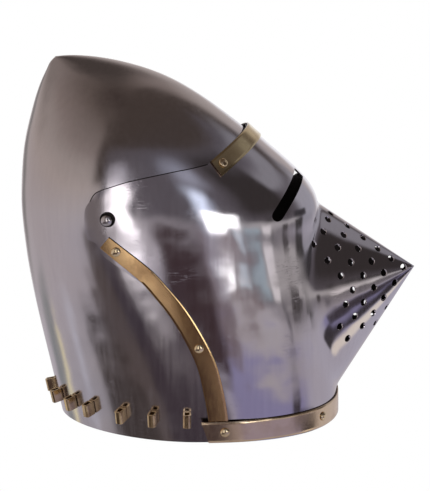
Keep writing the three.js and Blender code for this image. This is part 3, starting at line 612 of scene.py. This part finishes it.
def strip_place(along, across):
    """Side-view place on a side strip: along runs 0 to 1 down its middle, across -1 (rear) to 1."""
    along, across = np.broadcast_arrays(np.asarray(along, float), np.asarray(across, float))
    way = curve_at(strip_line, along + 1e-4) - curve_at(strip_line, along - 1e-4)
    way /= np.linalg.norm(way, axis=-1, keepdims=True)
    width = strip_narrow + (strip_wide - strip_narrow) * np.minimum(along * strip_widening, 1)
    side = np.stack([-way[..., 1], way[..., 0]], -1)
    return curve_at(strip_line, along) + (across * width / 2)[..., None] * side


ear = np.array([
    (-0.510, 0.490), (-0.536, 0.501), (-0.556, 0.520), (-0.582, 0.538), (-0.609, 0.545), (-0.622, 0.568),
    (-0.626, 0.592), (-0.621, 0.623), (-0.599, 0.643), (-0.568, 0.666)]) * side_scale
top_edge = np.array([
    (-0.568, 0.666), (-0.484, 0.682), (-0.398, 0.695), (-0.232, 0.713), (-0.141, 0.721),
    (-0.060, 0.730)]) * side_scale
brow_end, brow_middle = np.array([-0.047, 0.736]) * side_scale, np.array([0.121, 0.8055]) * side_scale
foot = strip_place(1.0, -1.0)
rear_edge = np.concatenate([foot[None], strip_place(np.array([0.85, 0.7, 0.55, 0.4, 0.25]), -1.0)])
outline = [(reach + beyond, -height), (foot[0], -height)]
outline += [tuple(p) for p in through_points(rear_edge)]
outline += [tuple(p) for p in through_points(np.concatenate([rear_edge[-1:], ear]))[1:]]
outline += [tuple(p) for p in through_points(top_edge)[1:]]
outline += [tuple(brow_end), tuple(brow_middle), tuple(brow_middle + beyond),
            (reach + beyond, brow_middle[1] + beyond)]
cut(visor, side_prism("visor outline", outline, -2 * half_width, 2 * half_width), "INTERSECT")

slit_half, slit_bridge = 5.1, 14
slit_rear, slit_front = np.array([0.273, 0.592]) * side_scale, np.array([0.420, 0.703]) * side_scale
slit_way = (slit_front - slit_rear) / np.linalg.norm(slit_front - slit_rear)
slit_side = np.array([-slit_way[1], slit_way[0]]) * slit_half
slit_round = [slit_rear + np.cos(t) * slit_side - np.sin(t) * slit_half * slit_way
              for t in np.linspace(0, np.pi, 13)]
slit_outline = [tuple(p) for p in [slit_front - slit_side, slit_front + slit_side, *slit_round]]
for near, far in ((-2 * half_width, -slit_bridge), (slit_bridge, 2 * half_width)):
    cut(visor, side_prism("eye slit", slit_outline, near, far), "DIFFERENCE")

breath_crowding = 0.15
breath_rows = [
    # rearmost hole and foremost hole, both back from and above the snout's tip, and how many
    ((0.773, 0.496), (0.106, 0.001), 6), ((0.805, 0.457), (0.189, -0.131), 6),
    ((0.854, 0.369), (0.291, -0.257), 6), ((0.948, 0.282), (0.388, -0.386), 6),
    ((0.655, -0.262), (0.488, -0.491), 3), ((0.706, -0.457), (0.628, -0.583), 2),
    ((0.251, -0.363), (0.251, -0.363), 1), ((0.354, -0.498), (0.354, -0.498), 1)]
breath_points, breath_normals = [], []
for rear, fore, count in breath_rows:
    even = np.arange(count) / max(count - 1, 1)
    share = (even * (1 + breath_crowding * (1 - even)))[:, None]
    back, up = ((np.array(rear) + (np.array(fore) - np.array(rear)) * share) * snout_depth).T
    for side in (-1, 1):
        points, normals = visor_spot(reach - back, snout_tip + up, side)
        breath_points.extend(points)
        breath_normals.extend(normals)
breath_profile = [(3.0, -4.5), (3.0, -0.55), (3.5, 0.05), (3.5, 3)]
snout_root = 78
cut(visor, punch("breath holes", breath_points, breath_normals, breath_profile), "DIFFERENCE")

pivot_y, ear_hole, ear_slack = 104.02, 6.3, 0.9
for side in (-1, 1):
    hole = np.array([[pivot[0] + ear_slack, side * (pivot_y + sheet), pivot[1] + ear_slack]])
    bore = punch("pivot hole", hole, np.array([[0.0, side, 0.0]]), [(ear_hole, -6), (ear_hole, 8)], 40)
    cut(visor, bore, "DIFFERENCE")


def painted_edge_shade(centres):
    """Cut edges behind the snout, painted dark as shade: the shadow along the sheet's edges and in its
    gaps.
    """
    return centres[:, 0] < snout_root


exact_normals(visor, visor_point, painted_edge_shade, rims_only=True)
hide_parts("visor")
steel_material("visor_steel_polish", [visor], ((0.62, 0.59, 0.61), (0.52, 0.45, 0.44), (0.56, 0.55, 0.66)),
               {"Streak depth": 0.0006, "Hollows": 24.0, "Hollow depth": 1.2, "Scratches": 0.35},
               {"Clouds": 8.0, "Amount": 0.4}, (0.08, 0.11), 0.0006)
dark_inside_and_painted_shade("visor_inside_and_edge_shade", [visor], (0.05, 0.043, 0.04))


seam_shadow_corners = ((-0.1, 0.1), (0.55, 0.1), (0.55, -0.5), (-0.1, -0.5))


def seam_shadow_ribbon(name, outline, side):
    """Thin dark ribbon along the visor's upper edge: a painted shadow of the seam between visor and skull.
    """
    places = through_points(outline, 12)
    way = np.gradient(places, axis=0)
    way /= np.linalg.norm(way, axis=1, keepdims=True)
    inward = np.stack([way[:, 1], -way[:, 0]], 1)
    loops = []
    for offset, lift in seam_shadow_corners:
        place = places + offset * inward
        points, normals = visor_spot(place[:, 0], place[:, 1], side)
        loops.append(points + lift * normals)
    rows, loop = len(places), len(seam_shadow_corners)
    faces = band_faces(rows, loop) + cap_faces(rows, loop)
    return make_object(name, np.stack(loops, 1).reshape(-1, 3), faces, "visor")


# Painted shadow: a dark ribbon along the seam on each side
edge_place = np.concatenate([ear[-2:-1], top_edge])
seam_shadow_ribbons = [seam_shadow_ribbon("visor_seam_shadow_" + word, edge_place, side) for side, word in both_sides]
dark_inside_and_painted_shade("visor_seam_shadow_paint", seam_shadow_ribbons, (0.03, 0.026, 0.024))

# The brass strips: rolled 1.2 mm sheet with filed edges. One runs down each rear edge of the visor, one
# lies over the middle of its upper edge, and a band goes round its lower edge over the strips' feet.
strip, strip_gap, strip_seat, edge_round, strip_short = 1.2, 0.45, 0.3, 0.55, 4


def edge_profile(half, count=9):
    """Section of a strip as (across -1..1, lift): a flat back and a face with rounded edges."""
    soft = edge_round / half
    face = [(-1, 0.45), (-1 + 0.25 * soft, 0.8), (-1 + soft, 1)]
    face += [(a, 1.0) for a in np.linspace(-1 + soft, 1 - soft, count)[1:-1]]
    face += [(1 - soft, 1), (1 - 0.25 * soft, 0.8), (1, 0.45)]
    back = [(a, 0.0) for a in np.linspace(1, -1, count)]
    return np.array([(across, lift * strip) for across, lift in face + back])


def brass_strip(name, spots, profile):
    """Strip swept along rows of surface spots, with its edges and ends in a second, dark finish: painted
    shade of the gap round the strip.
    """
    points, normals = spots
    points = points + normals * (strip_gap + profile[:, 1])[None, :, None]
    rows, loop = points.shape[:2]
    faces = band_faces(rows, loop) + cap_faces(rows, loop)
    piece = make_object(name, points.reshape(-1, 3), faces, "visor")
    low = np.minimum(profile[:, 1], np.roll(profile[:, 1], -1)) < 0.7 * strip
    shaded_edges = np.append(np.tile(low, rows - 1), [True, True])
    piece.data.polygons.foreach_set("material_index", shaded_edges.astype(int))
    tidy_normals(piece)
    return piece


def tidy_normals(piece, angle=32):
    """Faces turned outward, smooth apart from edges sharper than the angle."""
    bm = bmesh.new()
    bm.from_mesh(piece.data)
    bmesh.ops.recalc_face_normals(bm, faces=bm.faces)
    bm.to_mesh(piece.data)
    bm.free()
    piece.data.polygons.foreach_set("use_smooth", [True] * len(piece.data.polygons))
    piece.data.set_sharp_from_angle(angle=np.radians(angle))


strip_length = np.linalg.norm(np.diff(curve_at(strip_line, np.linspace(0, 1, 200)), axis=0), axis=1).sum()
side_steps = np.linspace(0, 1 - strip_short / strip_length, 90)[:, None]
side_profile = edge_profile(7)
side_strips = {}
for side, word in both_sides:
    places = strip_place(side_steps, side_profile[None, :, 0])
    spots = visor_spot(places[..., 0], places[..., 1], side)
    side_strips[word] = brass_strip("brass_side_strip_" + word, spots, side_profile)
    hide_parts("side_strip_" + word)

chin_height, chin_foot, chin_back, lap_from, lap_over = 18.4, 1.3, 9.8, 0.66, 0.14
chin_end = float(angle_at(np.array(-chin_back), np.array(chin_foot)))
chin_profile = edge_profile(chin_height / 2)


def face_only(angle, level):
    """Point of the visor without its snout, for the chin band's normals."""
    radius = face_radius(angle, level)
    return np.stack([visor_axis(level) + radius * np.cos(angle), radius * np.sin(angle),
                     level + 0 * radius], -1)


chin_share = np.linspace(-1, 1, 181)[:, None] + 0 * chin_profile[None, :, 0]
chin_level = chin_foot + (chin_profile[None, :, 0] + 1) / 2 * chin_height + 0 * chin_share
chin_normals = outward(face_only, chin_share * chin_end, chin_level)
lap = np.clip((np.abs(chin_share) - lap_from) / lap_over, 0, 1)
lap = (lap * lap * (3 - 2 * lap))[..., None]
chin_points = visor_point(chin_share * chin_end, chin_level) + lap * (strip + strip_seat) * chin_normals
chin_band = brass_strip("brass_chin_band", (chin_points, chin_normals), chin_profile)
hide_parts("chin_band")

brow_width = 15.0
brow_way = (brow_middle - brow_end) / np.linalg.norm(brow_middle - brow_end)
brow_side = np.array([brow_way[1], -brow_way[0]]) * brow_width
brow_profile = edge_profile(brow_width / 2)


def brow_spot(share, across):
    """Spot on the brow strip: share -1..1 from end to end, across 0 (upper edge) to 1."""
    share, across = np.broadcast_arrays(np.asarray(share, float), np.asarray(across, float))
    start = brow_end + across[..., None] * brow_side
    angle = share * angle_at(start[..., 0], start[..., 1])
    low, high = start[..., 1] - brow_width, np.full(share.shape, brow_middle[1] + brow_width / 2)
    for _ in range(40):
        level = (low + high) / 2
        x = visor_point(angle, level)[..., 0]
        above = (level - start[..., 1]) * brow_way[0] - (x - start[..., 0]) * brow_way[1] > 0
        low, high = np.where(above, low, level), np.where(above, level, high)
    return visor_point(angle, level), outward(visor_point, angle, level)


brow_spots = brow_spot(np.linspace(-1, 1, 121)[:, None], (1 - brow_profile[None, :, 0]) / 2)
brow_strip = brass_strip("brass_brow_strip", brow_spots, brow_profile)
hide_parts("brow_strip")

aged_brass, start, end = effect_group(
    "aged_brass", {"Brass": (0.7, 0.53, 0.3), "Tarnish": (0.3, 0.2, 0.12), "Amount": 0.5, "Spots": 45.0},
    ["Colour", "Roughness", "Height"])
patches = grain(aged_brass, start.outputs["Spots"], 4)
rub = grain(aged_brass, 420, 2, (1, 1, 0.3))
dull = sums(aged_brass, "MULTIPLY", spread(aged_brass, patches, 0.46, 0.72, 0, 1), start.outputs["Amount"])
for key, value in (
        ("Colour", blend(aged_brass, dull, start.outputs["Brass"], start.outputs["Tarnish"])),
        ("Roughness", sums(aged_brass, "MULTIPLY_ADD", dull, 0.25,
                           spread(aged_brass, rub, 0.3, 0.7, 0.11, 0.17))),
        ("Height", sums(aged_brass, "MULTIPLY_ADD", rub, 0.1, patches))):
    aged_brass.links.new(value, end.inputs[key])
brass_relief = 0.00002


def brass_material(name, owner, brass, tarnish, amount, spots):
    """Rubbed brass with tarnish in patches."""
    tree, metal = new_material(name, brass, 0.22, owner)
    age = place_group(tree, aged_brass, {"Brass": brass, "Tarnish": tarnish, "Amount": amount,
                                         "Spots": spots})
    tree.links.new(age.outputs["Colour"], metal.inputs["Base Color"])
    tree.links.new(age.outputs["Roughness"], metal.inputs["Roughness"])
    add_relief(tree, metal, age.outputs["Height"], brass_relief)


strips = [*side_strips.values(), chin_band, brow_strip]
# One brass in copies of different colour: the side strips' darker brass is painted shade, the chin band's
# lighter, pinker brass a painted reflection
brass_material("side_strip_brass_painted_shade", strips[:2], (0.70, 0.47, 0.23), (0.40, 0.22, 0.10), 0.7, 24.0)
brass_material("chin_brass_painted_reflection", [chin_band], (0.80, 0.63, 0.42), (0.46, 0.30, 0.18), 0.5, 40.0)
brass_material("brow_brass_polish", [brow_strip], (0.72, 0.60, 0.34), (0.40, 0.28, 0.14), 0.5, 40.0)
# The strips' edges and ends: dark brass as painted shade of the gap beside each strip
brass_material("strip_edge_painted_shade", strips, (0.20, 0.13, 0.075), (0.10, 0.06, 0.035), 0.8, 90.0)

# The brass rivets: hand-set, with low domed heads, through the strips and the visor and ground flush
# inside. Two hold the brow strip, two each side strip, and four the chin band.
rivet_radius, rivet_dome, rivet_shank = 3.9, 1.8, 1.6


def frame_on(normal):
    """Axes with Z along a normal and X level."""
    level = np.cross((0, 0, 1), normal)
    level /= np.linalg.norm(level)
    return np.column_stack([level, np.cross(normal, level), normal])


def turned(name, point, normal, profile, body, sides=40):
    """Turned solid about a normal: profile lists (radius, distance along), closed on the axis."""
    axes = frame_on(normal)
    turns = np.linspace(0, 2 * np.pi, sides, endpoint=False)
    verts = [axes @ (0, 0, profile[0][1]) + point]
    for radius, along in profile[1:-1]:
        verts += [axes @ (radius * np.cos(t), radius * np.sin(t), along) + point for t in turns]
    verts.append(axes @ (0, 0, profile[-1][1]) + point)
    rings, last = len(profile) - 2, len(verts) - 1
    base = last - sides
    faces = [[0, 1 + (i + 1) % sides, 1 + i] for i in range(sides)]
    faces += band_faces(rings, sides, 1)
    faces += [[base + i, base + (i + 1) % sides, last] for i in range(sides)]
    piece = make_object(name, verts, faces, body)
    tidy_normals(piece, 50)
    return piece


def rivet(node, point, normal, lift, grip):
    """Rivet whose head sits a lift above the visor, with a shank as long as its grip."""
    dome = [(rivet_radius * np.cos(t), rivet_dome * (0.12 + 0.88 * np.sin(t)))
            for t in np.linspace(0, np.pi / 2, 10)[:-1]]
    profile = [(0, -grip), (rivet_shank, -grip), (rivet_shank, 0), (rivet_radius - 0.3, 0.02)]
    profile += dome + [(0, rivet_dome)]
    piece = turned("brass_" + node, point + normal * lift, normal, profile, "visor")
    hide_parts(node)
    return piece


head_lift = strip_gap + strip + strip_seat
rivets = []
for side, word in both_sides:
    point, normal = brow_spot(side * 0.925, 0.5)
    rivets.append(rivet("brow_rivet_" + word, point, normal, head_lift, sheet + head_lift))
    for name, along in (("upper", 0.094), ("lower", 0.578)):
        place = strip_place(along, 0.0)
        point, normal = visor_spot(place[0], place[1], side)
        rivets.append(rivet(f"side_rivet_{name}_{word}", point, normal, head_lift, sheet + head_lift))
    for name, x, lift in (("rear", 0.020 * reach, strip + strip_seat), ("front", 0.502 * reach, 0)):
        point, normal = visor_spot(np.array(x), np.array(chin_foot + chin_height / 2), side)
        rivets.append(rivet(f"chin_rivet_{name}_{word}", point, normal, head_lift + lift,
                            sheet + head_lift + lift))
brass_material("rivet_brass_polish", rivets, (0.84, 0.68, 0.42), (0.5, 0.34, 0.2), 0.5, 160.0)

# The pivot studs: turned steel studs burred over inside the skull. The visor's oversize ear holes hang
# loosely on them, so a dark crescent shows beside each dome: the skull round the stud, painted dark as
# shade.
stud_radius, stud_shank, stud_dome, stud_seat = 4.7, 3.0, 2.2, 1.55
stud_top, stud_rim = sheet + 1.4 + stud_radius * 0.12, 0.4
stud_tail, burr_radius, burr_tall = -sheet - 2.1, 5.1, 1.4
studs = []
for side, word in both_sides:
    profile = [(0, stud_tail - burr_tall), (burr_radius - 0.9, stud_tail - burr_tall),
               (burr_radius, stud_tail - 0.5), (burr_radius, stud_tail), (stud_shank, stud_tail),
               (stud_shank, stud_seat), (stud_radius, stud_seat), (stud_radius, stud_top - stud_rim)]
    profile += [(stud_radius * np.cos(t) ** 0.8, stud_top - stud_rim + (stud_dome + stud_rim) * np.sin(t))
                for t in np.linspace(0, np.pi / 2, 10)[1:-1]]
    profile += [(0, stud_top + stud_dome)]
    place = np.array([pivot[0], side * pivot_y, pivot[1]])
    stud = turned("steel_pivot_stud_" + word, place, np.array([0.0, side, 0.0]), profile, "skull")
    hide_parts("pivot_stud_" + word)
    studs.append(stud)
steel_material("stud_steel_polish", studs, ((0.6, 0.58, 0.57), (0.5, 0.44, 0.42), (0.55, 0.55, 0.6)),
               {"Hollow depth": 0.2, "Scratches": 0.3}, {"Clouds": 40.0, "Amount": 0.5}, (0.12, 0.22),
               0.0003)

# The vervelles: staples folded from brass strip, standing upright round the rear of the rim. Their tangs
# go through the skull, and a cord through their eyes once held a mail curtain.
peg_pitch, peg_level, peg_width, peg_tall = 28.7, 21.5, 6.9, 11.4
peg_stand, peg_wall, peg_tang, peg_tang_tall, peg_tang_tail = 9.6, 1.7, 3.0, 6.0, 1.5
peg_gap, peg_fold, peg_eye_fold, peg_corner, peg_eye_corner, peg_chamfer = 0.3, 2.3, 1.1, 0.7, 0.6, 0.35


def rim_walk(distance):
    """Skull angle at a distance along the rear rim from the middle of the back."""
    angles = np.pi + np.linspace(0, 2.4, 2400) * np.sign(distance if distance else 1)
    walk = skull_point(angles, np.full(angles.shape, peg_level))
    walked = np.concatenate([[0], np.cumsum(np.linalg.norm(np.diff(walk, axis=0), axis=1))])
    return float(np.interp(abs(distance), walked, angles))


def round_box(width, depth, middle, corner, fold, steps=6):
    """Loop of (across, out) points: a rectangle whose outer corners are rounded by fold."""
    loop = []
    low, high = middle - depth / 2, middle + depth / 2
    for cx, cz, radius, first in ((width / 2, high, fold, 0), (-width / 2, high, fold, 1),
                                  (-width / 2, low, corner, 2), (width / 2, low, corner, 3)):
        x, z = cx - np.sign(cx) * radius, cz - (radius if cz == high else -radius)
        for t in np.linspace(first, first + 1, steps) * np.pi / 2:
            loop.append((x + radius * np.cos(t), z + radius * np.sin(t)))
    return np.array(loop)


vervelles = []
peg_places = [0, 1.15, 2.06, 2.88, 4.04, 5.02, 6.0]
peg_places = [-place for place in peg_places[:0:-1]] + peg_places
for number, place in enumerate(peg_places, 1):
    angle = np.array(rim_walk(place * peg_pitch))
    level = np.array(peg_level)
    point, normal = skull_point(angle, level), outward(skull_point, angle, level)
    axes = frame_on(normal)
    middle = peg_gap + peg_stand / 2
    verts = []
    for share, inset in ((-0.5, peg_chamfer), (-0.47, 0.0), (0.47, 0.0), (0.5, peg_chamfer)):
        eye = 2 * (inset - peg_wall)
        for loop in (round_box(peg_width - 2 * inset, peg_stand - 2 * inset, middle, peg_corner,
                               peg_fold - inset),
                     round_box(peg_width + eye, peg_stand + eye, middle, peg_eye_corner, peg_eye_fold)):
            verts += [axes @ (x, share * peg_tall, z) + point for x, z in loop]
    count = len(verts) // 8
    faces = band_faces(4, count, 0, 2 * count)
    faces += [f[::-1] for f in band_faces(4, count, count, 2 * count)]
    for i in range(count):
        j = (i + 1) % count
        faces.append([i, count + i, count + j, j])
        faces.append([6 * count + j, 7 * count + j, 7 * count + i, 6 * count + i])
    base = len(verts)
    for z in (-sheet - peg_tang_tail, peg_gap + peg_wall / 2):
        verts += [axes @ (x * peg_tang / 2, y * peg_tang_tall / 2, z) + point
                  for x, y in ((-1, -1), (1, -1), (1, 1), (-1, 1))]
    faces += band_faces(2, 4, base) + cap_faces(2, 4, base)
    vervelle = make_object(f"brass_vervelle_{number:02d}", verts, faces, "skull")
    tidy_normals(vervelle, 40)
    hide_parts(f"vervelle_{number:02d}")
    vervelles.append(vervelle)
brass_material("vervelle_brass_polish", vervelles, (0.66, 0.5, 0.28), (0.3, 0.19, 0.1), 0.8, 110.0)

# The table: white, without a seam. It glows white for the camera, so that the helmet throws no shadow on
# it, and the steel mirrors the studio's patches in its place.
scene = bpy.context.scene
scene.view_settings.view_transform = "Standard"
table_mesh = bpy.data.meshes.new("table")
table_half = 4
table_mesh.from_pydata([(-table_half, -table_half, 0), (table_half, -table_half, 0),
                        (table_half, table_half, 0), (-table_half, table_half, 0)], [], [(0, 1, 2, 3)])
table = bpy.data.objects.new("table", table_mesh)
scene.collection.objects.link(table)
table.visible_glossy = False
paint = bpy.data.materials.new("white_table_paint")
paint.use_nodes = True
nodes, links = paint.node_tree.nodes, paint.node_tree.links
chalk = nodes["Principled BSDF"]
chalk.inputs["Base Color"].default_value = (0.9, 0.9, 0.9, 1)
chalk.inputs["Roughness"].default_value = 0.9
glow = nodes.new("ShaderNodeEmission")
glow.inputs["Color"].default_value = (1, 1, 1, 1)
path = nodes.new("ShaderNodeLightPath")
mix = nodes.new("ShaderNodeMixShader")
links.new(path.outputs["Is Camera Ray"], mix.inputs[0])
links.new(chalk.outputs[0], mix.inputs[1])
links.new(glow.outputs[0], mix.inputs[2])
links.new(mix.outputs[0], nodes["Material Output"].inputs["Surface"])
table_mesh.materials.append(paint)

# The studio: a dim warm room, shaded by height, with soft patches of light and shade by direction, such as
# two tall window cards and a bright low one. Azimuth 0 is on the helmet's right, 90 in front of it. The
# patches were placed one by one, until the polished steel mirrored them where the photograph has them.
room_bands = ((-90, (0.30, 0.27, 0.30)), (-36, (0.42, 0.40, 0.44)), (-28, (0.56, 0.52, 0.57)),
              (-10, (0.57, 0.53, 0.56)), (12, (0.55, 0.49, 0.48)), (30, (0.46, 0.41, 0.40)),
              (46, (0.33, 0.28, 0.27)), (62, (0.25, 0.21, 0.20)), (76, (0.16, 0.13, 0.12)),
              (90, (0.050, 0.036, 0.033)))
cards = (
    # azimuth, elevation, half width, half height, softness across and up, colour
    (-170, 58, 24, 20, 10, 14, (0.085, 0.070, 0.066)),
    (-130, 36, 18, 16, 10, 12, (0.31, 0.27, 0.26)),
    (62, 62, 86, 42, 5, 8, (0.082, 0.064, 0.058)),
    (60, 24, 72, 30, 4, 5, (0.135, 0.120, 0.135)),
    (66, 26, 22, 22, 8, 8, (0.050, 0.042, 0.042)),
    (113, 38, 26, 6, 6, 4, (0.31, 0.30, 0.33)),
    (125, 10, 22, 16, 8, 6, (0.44, 0.43, 0.48)),
    (168, 0, 14, 9, 8, 6, (0.95, 0.94, 0.98)),
    (-172, -4, 9, 12, 4, 6, (1.3, 1.28, 1.28)),
    (-149, 0, 6, 15, 4, 5, (0.26, 0.25, 0.25)),
    # the table's far half: grey under the horizon, violet-blue below, dark where the room ends
    (56, -20, 36, 10.5, 5, 1.2, (0.33, 0.31, 0.50)),
    (112, -30, 30, 22, 8, 6, (0.55, 0.53, 0.61)),
    (33, -6.3, 13, 1.3, 2, 0.5, (0.24, 0.18, 0.185)),
    (25, -9.2, 7, 2.2, 2, 0.6, (0.22, 0.17, 0.18)),
    (14, -10.8, 8.5, 3.7, 2, 1.2, (0.060, 0.036, 0.038)),
    (46, -8.2, 14, 0.9, 5, 1, (0.58, 0.54, 0.55)),
    (8, -19, 9, 4, 3, 2, (0.17, 0.15, 0.20)),
    (-14, -4, 9, 12, 4, 4, (0.215, 0.185, 0.185)),
    (-12, -24, 25, 9.5, 4, 1.5, (0.060, 0.046, 0.060)),
    (-32, -24, 10, 6, 4, 3, (0.115, 0.090, 0.085)),
    (-38, -30, 14, 5, 5, 2.5, (0.125, 0.100, 0.100)),
    (-52, -35.6, 20, 4.9, 4, 1.2, (0.052, 0.040, 0.038)),
    (-119, -29, 2.5, 3, 2, 2, (1.4, 1.25, 0.70)),
    (-92, -31, 4, 3, 3, 2, (0.70, 0.70, 0.80)),
    (-130, -25, 9, 5, 4, 3, (0.32, 0.33, 0.34)),
    # beside and under the snout: dark, with a bright band low down
    (103, 2.6, 9.5, 3.2, 2.5, 1.2, (0.055, 0.050, 0.055)),
    (64.8, -0.6, 2.2, 3.6, 0.8, 0.8, (0.055, 0.048, 0.050)),
    (67.8, -6.0, 2.2, 2.0, 2.0, 1.2, (0.16, 0.145, 0.16)),
    (83, -18.8, 10, 4.8, 2.5, 1.0, (0.055, 0.048, 0.055)),
    (68.5, -12.8, 4.5, 2.8, 1.5, 0.6, (0.06, 0.05, 0.06)),
    (87, -27.5, 8, 3.0, 3, 1.2, (1.0, 0.92, 0.82)),
    # the window cards and the bright low card
    (-2.2, 8, 2.2, 19, 1.4, 4, (3.2, 3.1, 3.2)),
    (-2, 27, 3.0, 10, 3, 8, (0.85, 0.82, 0.92)),
    (26.5, 10, 3.5, 12, 3.5, 8, (1.25, 1.4, 1.7)),
    (29, 34, 6, 8, 6, 7, (0.42, 0.43, 0.52)),
    (70, -1.2, 28, 1.6, 6, 1.2, (0.54, 0.51, 0.51)),
    (49, -2.8, 6, 0.8, 2.5, 0.5, (0.46, 0.58, 0.64)),
    (61, -2.3, 4, 1.2, 1, 0.5, (1.05, 1.0, 1.0)),
    (79, -3.2, 3.6, 1.5, 1, 0.5, (0.07, 0.06, 0.06)),
    (99.5, -3.8, 6, 2.6, 1.5, 0.7, (0.06, 0.055, 0.055)),
    (40, -4.3, 2.2, 0.5, 0.8, 0.3, (0.80, 0.95, 1.05)),
    (33, 0.9, 8, 3.6, 1.6, 0.5, (3.2, 3.2, 3.2)),
    (29.8, -3.5, 4.6, 1.3, 1.0, 0.35, (3.2, 3.2, 3.2)),
)
world = bpy.data.worlds.new("studio")
scene.world = world
world.use_nodes = True
tree = world.node_tree
direction = tree.nodes.new("ShaderNodeSeparateXYZ")
tree.links.new(tree.nodes.new("ShaderNodeTexCoord").outputs["Generated"], direction.inputs[0])
azimuth = sums(tree, "DEGREES", sums(tree, "ARCTAN2", direction.outputs["X"],
                                    sums(tree, "MULTIPLY", direction.outputs["Y"], -1.0)))
elevation = sums(tree, "DEGREES", sums(tree, "ARCSINE", direction.outputs["Z"]))
bands = tree.nodes.new("ShaderNodeValToRGB")
tree.links.new(spread(tree, elevation, -90.0, 90.0, 0.0, 1.0), bands.inputs[0])
stops = bands.color_ramp.elements
for level, colour in room_bands:
    stop = stops[0] if level == -90 else stops[-1] if level == 90 else stops.new((level + 90) / 180)
    stop.color = (*colour, 1)
light = bands.outputs[0]
for card_azimuth, card_elevation, wide, tall, soft_wide, soft_tall, colour in cards:
    turn = sums(tree, "SUBTRACT", azimuth, float(card_azimuth))
    turn = sums(tree, "ABSOLUTE", sums(tree, "WRAP", turn, -180.0, 180.0))
    rise = sums(tree, "ABSOLUTE", sums(tree, "SUBTRACT", elevation, float(card_elevation)))
    mask = None
    for distance, half, soft in ((turn, wide, soft_wide), (rise, tall, soft_tall)):
        edge = tree.nodes.new("ShaderNodeMapRange")
        edge.interpolation_type = "SMOOTHSTEP"
        tree.links.new(distance, edge.inputs["Value"])
        edge.inputs["From Min"].default_value = half + soft
        edge.inputs["From Max"].default_value = max(half - soft, 0)
        mask = edge.outputs[0] if mask is None else sums(tree, "MULTIPLY", mask, edge.outputs[0])
    light = blend(tree, mask, light, colour)
seen = tree.nodes.new("ShaderNodeLightPath")
tree.links.new(blend(tree, seen.outputs["Is Camera Ray"], light, (1.0, 1.0, 1.0)),
               tree.nodes["Background"].inputs["Color"])

# The camera: it stands where the photograph was taken from, about a metre off the helmet's right cheek and
# a little above it, and looks slightly down.
camera_data = bpy.data.cameras.new("camera")
camera_data.lens, camera_data.sensor_width = 85.5, 36
camera = bpy.data.objects.new("camera", camera_data)
scene.collection.objects.link(camera)
camera_place, camera_dip = (-0.0045, -1.0324, 0.3410), 10.5
camera.location = camera_place
camera.rotation_euler = (np.radians(90 - camera_dip), 0, 0)
scene.camera = camera
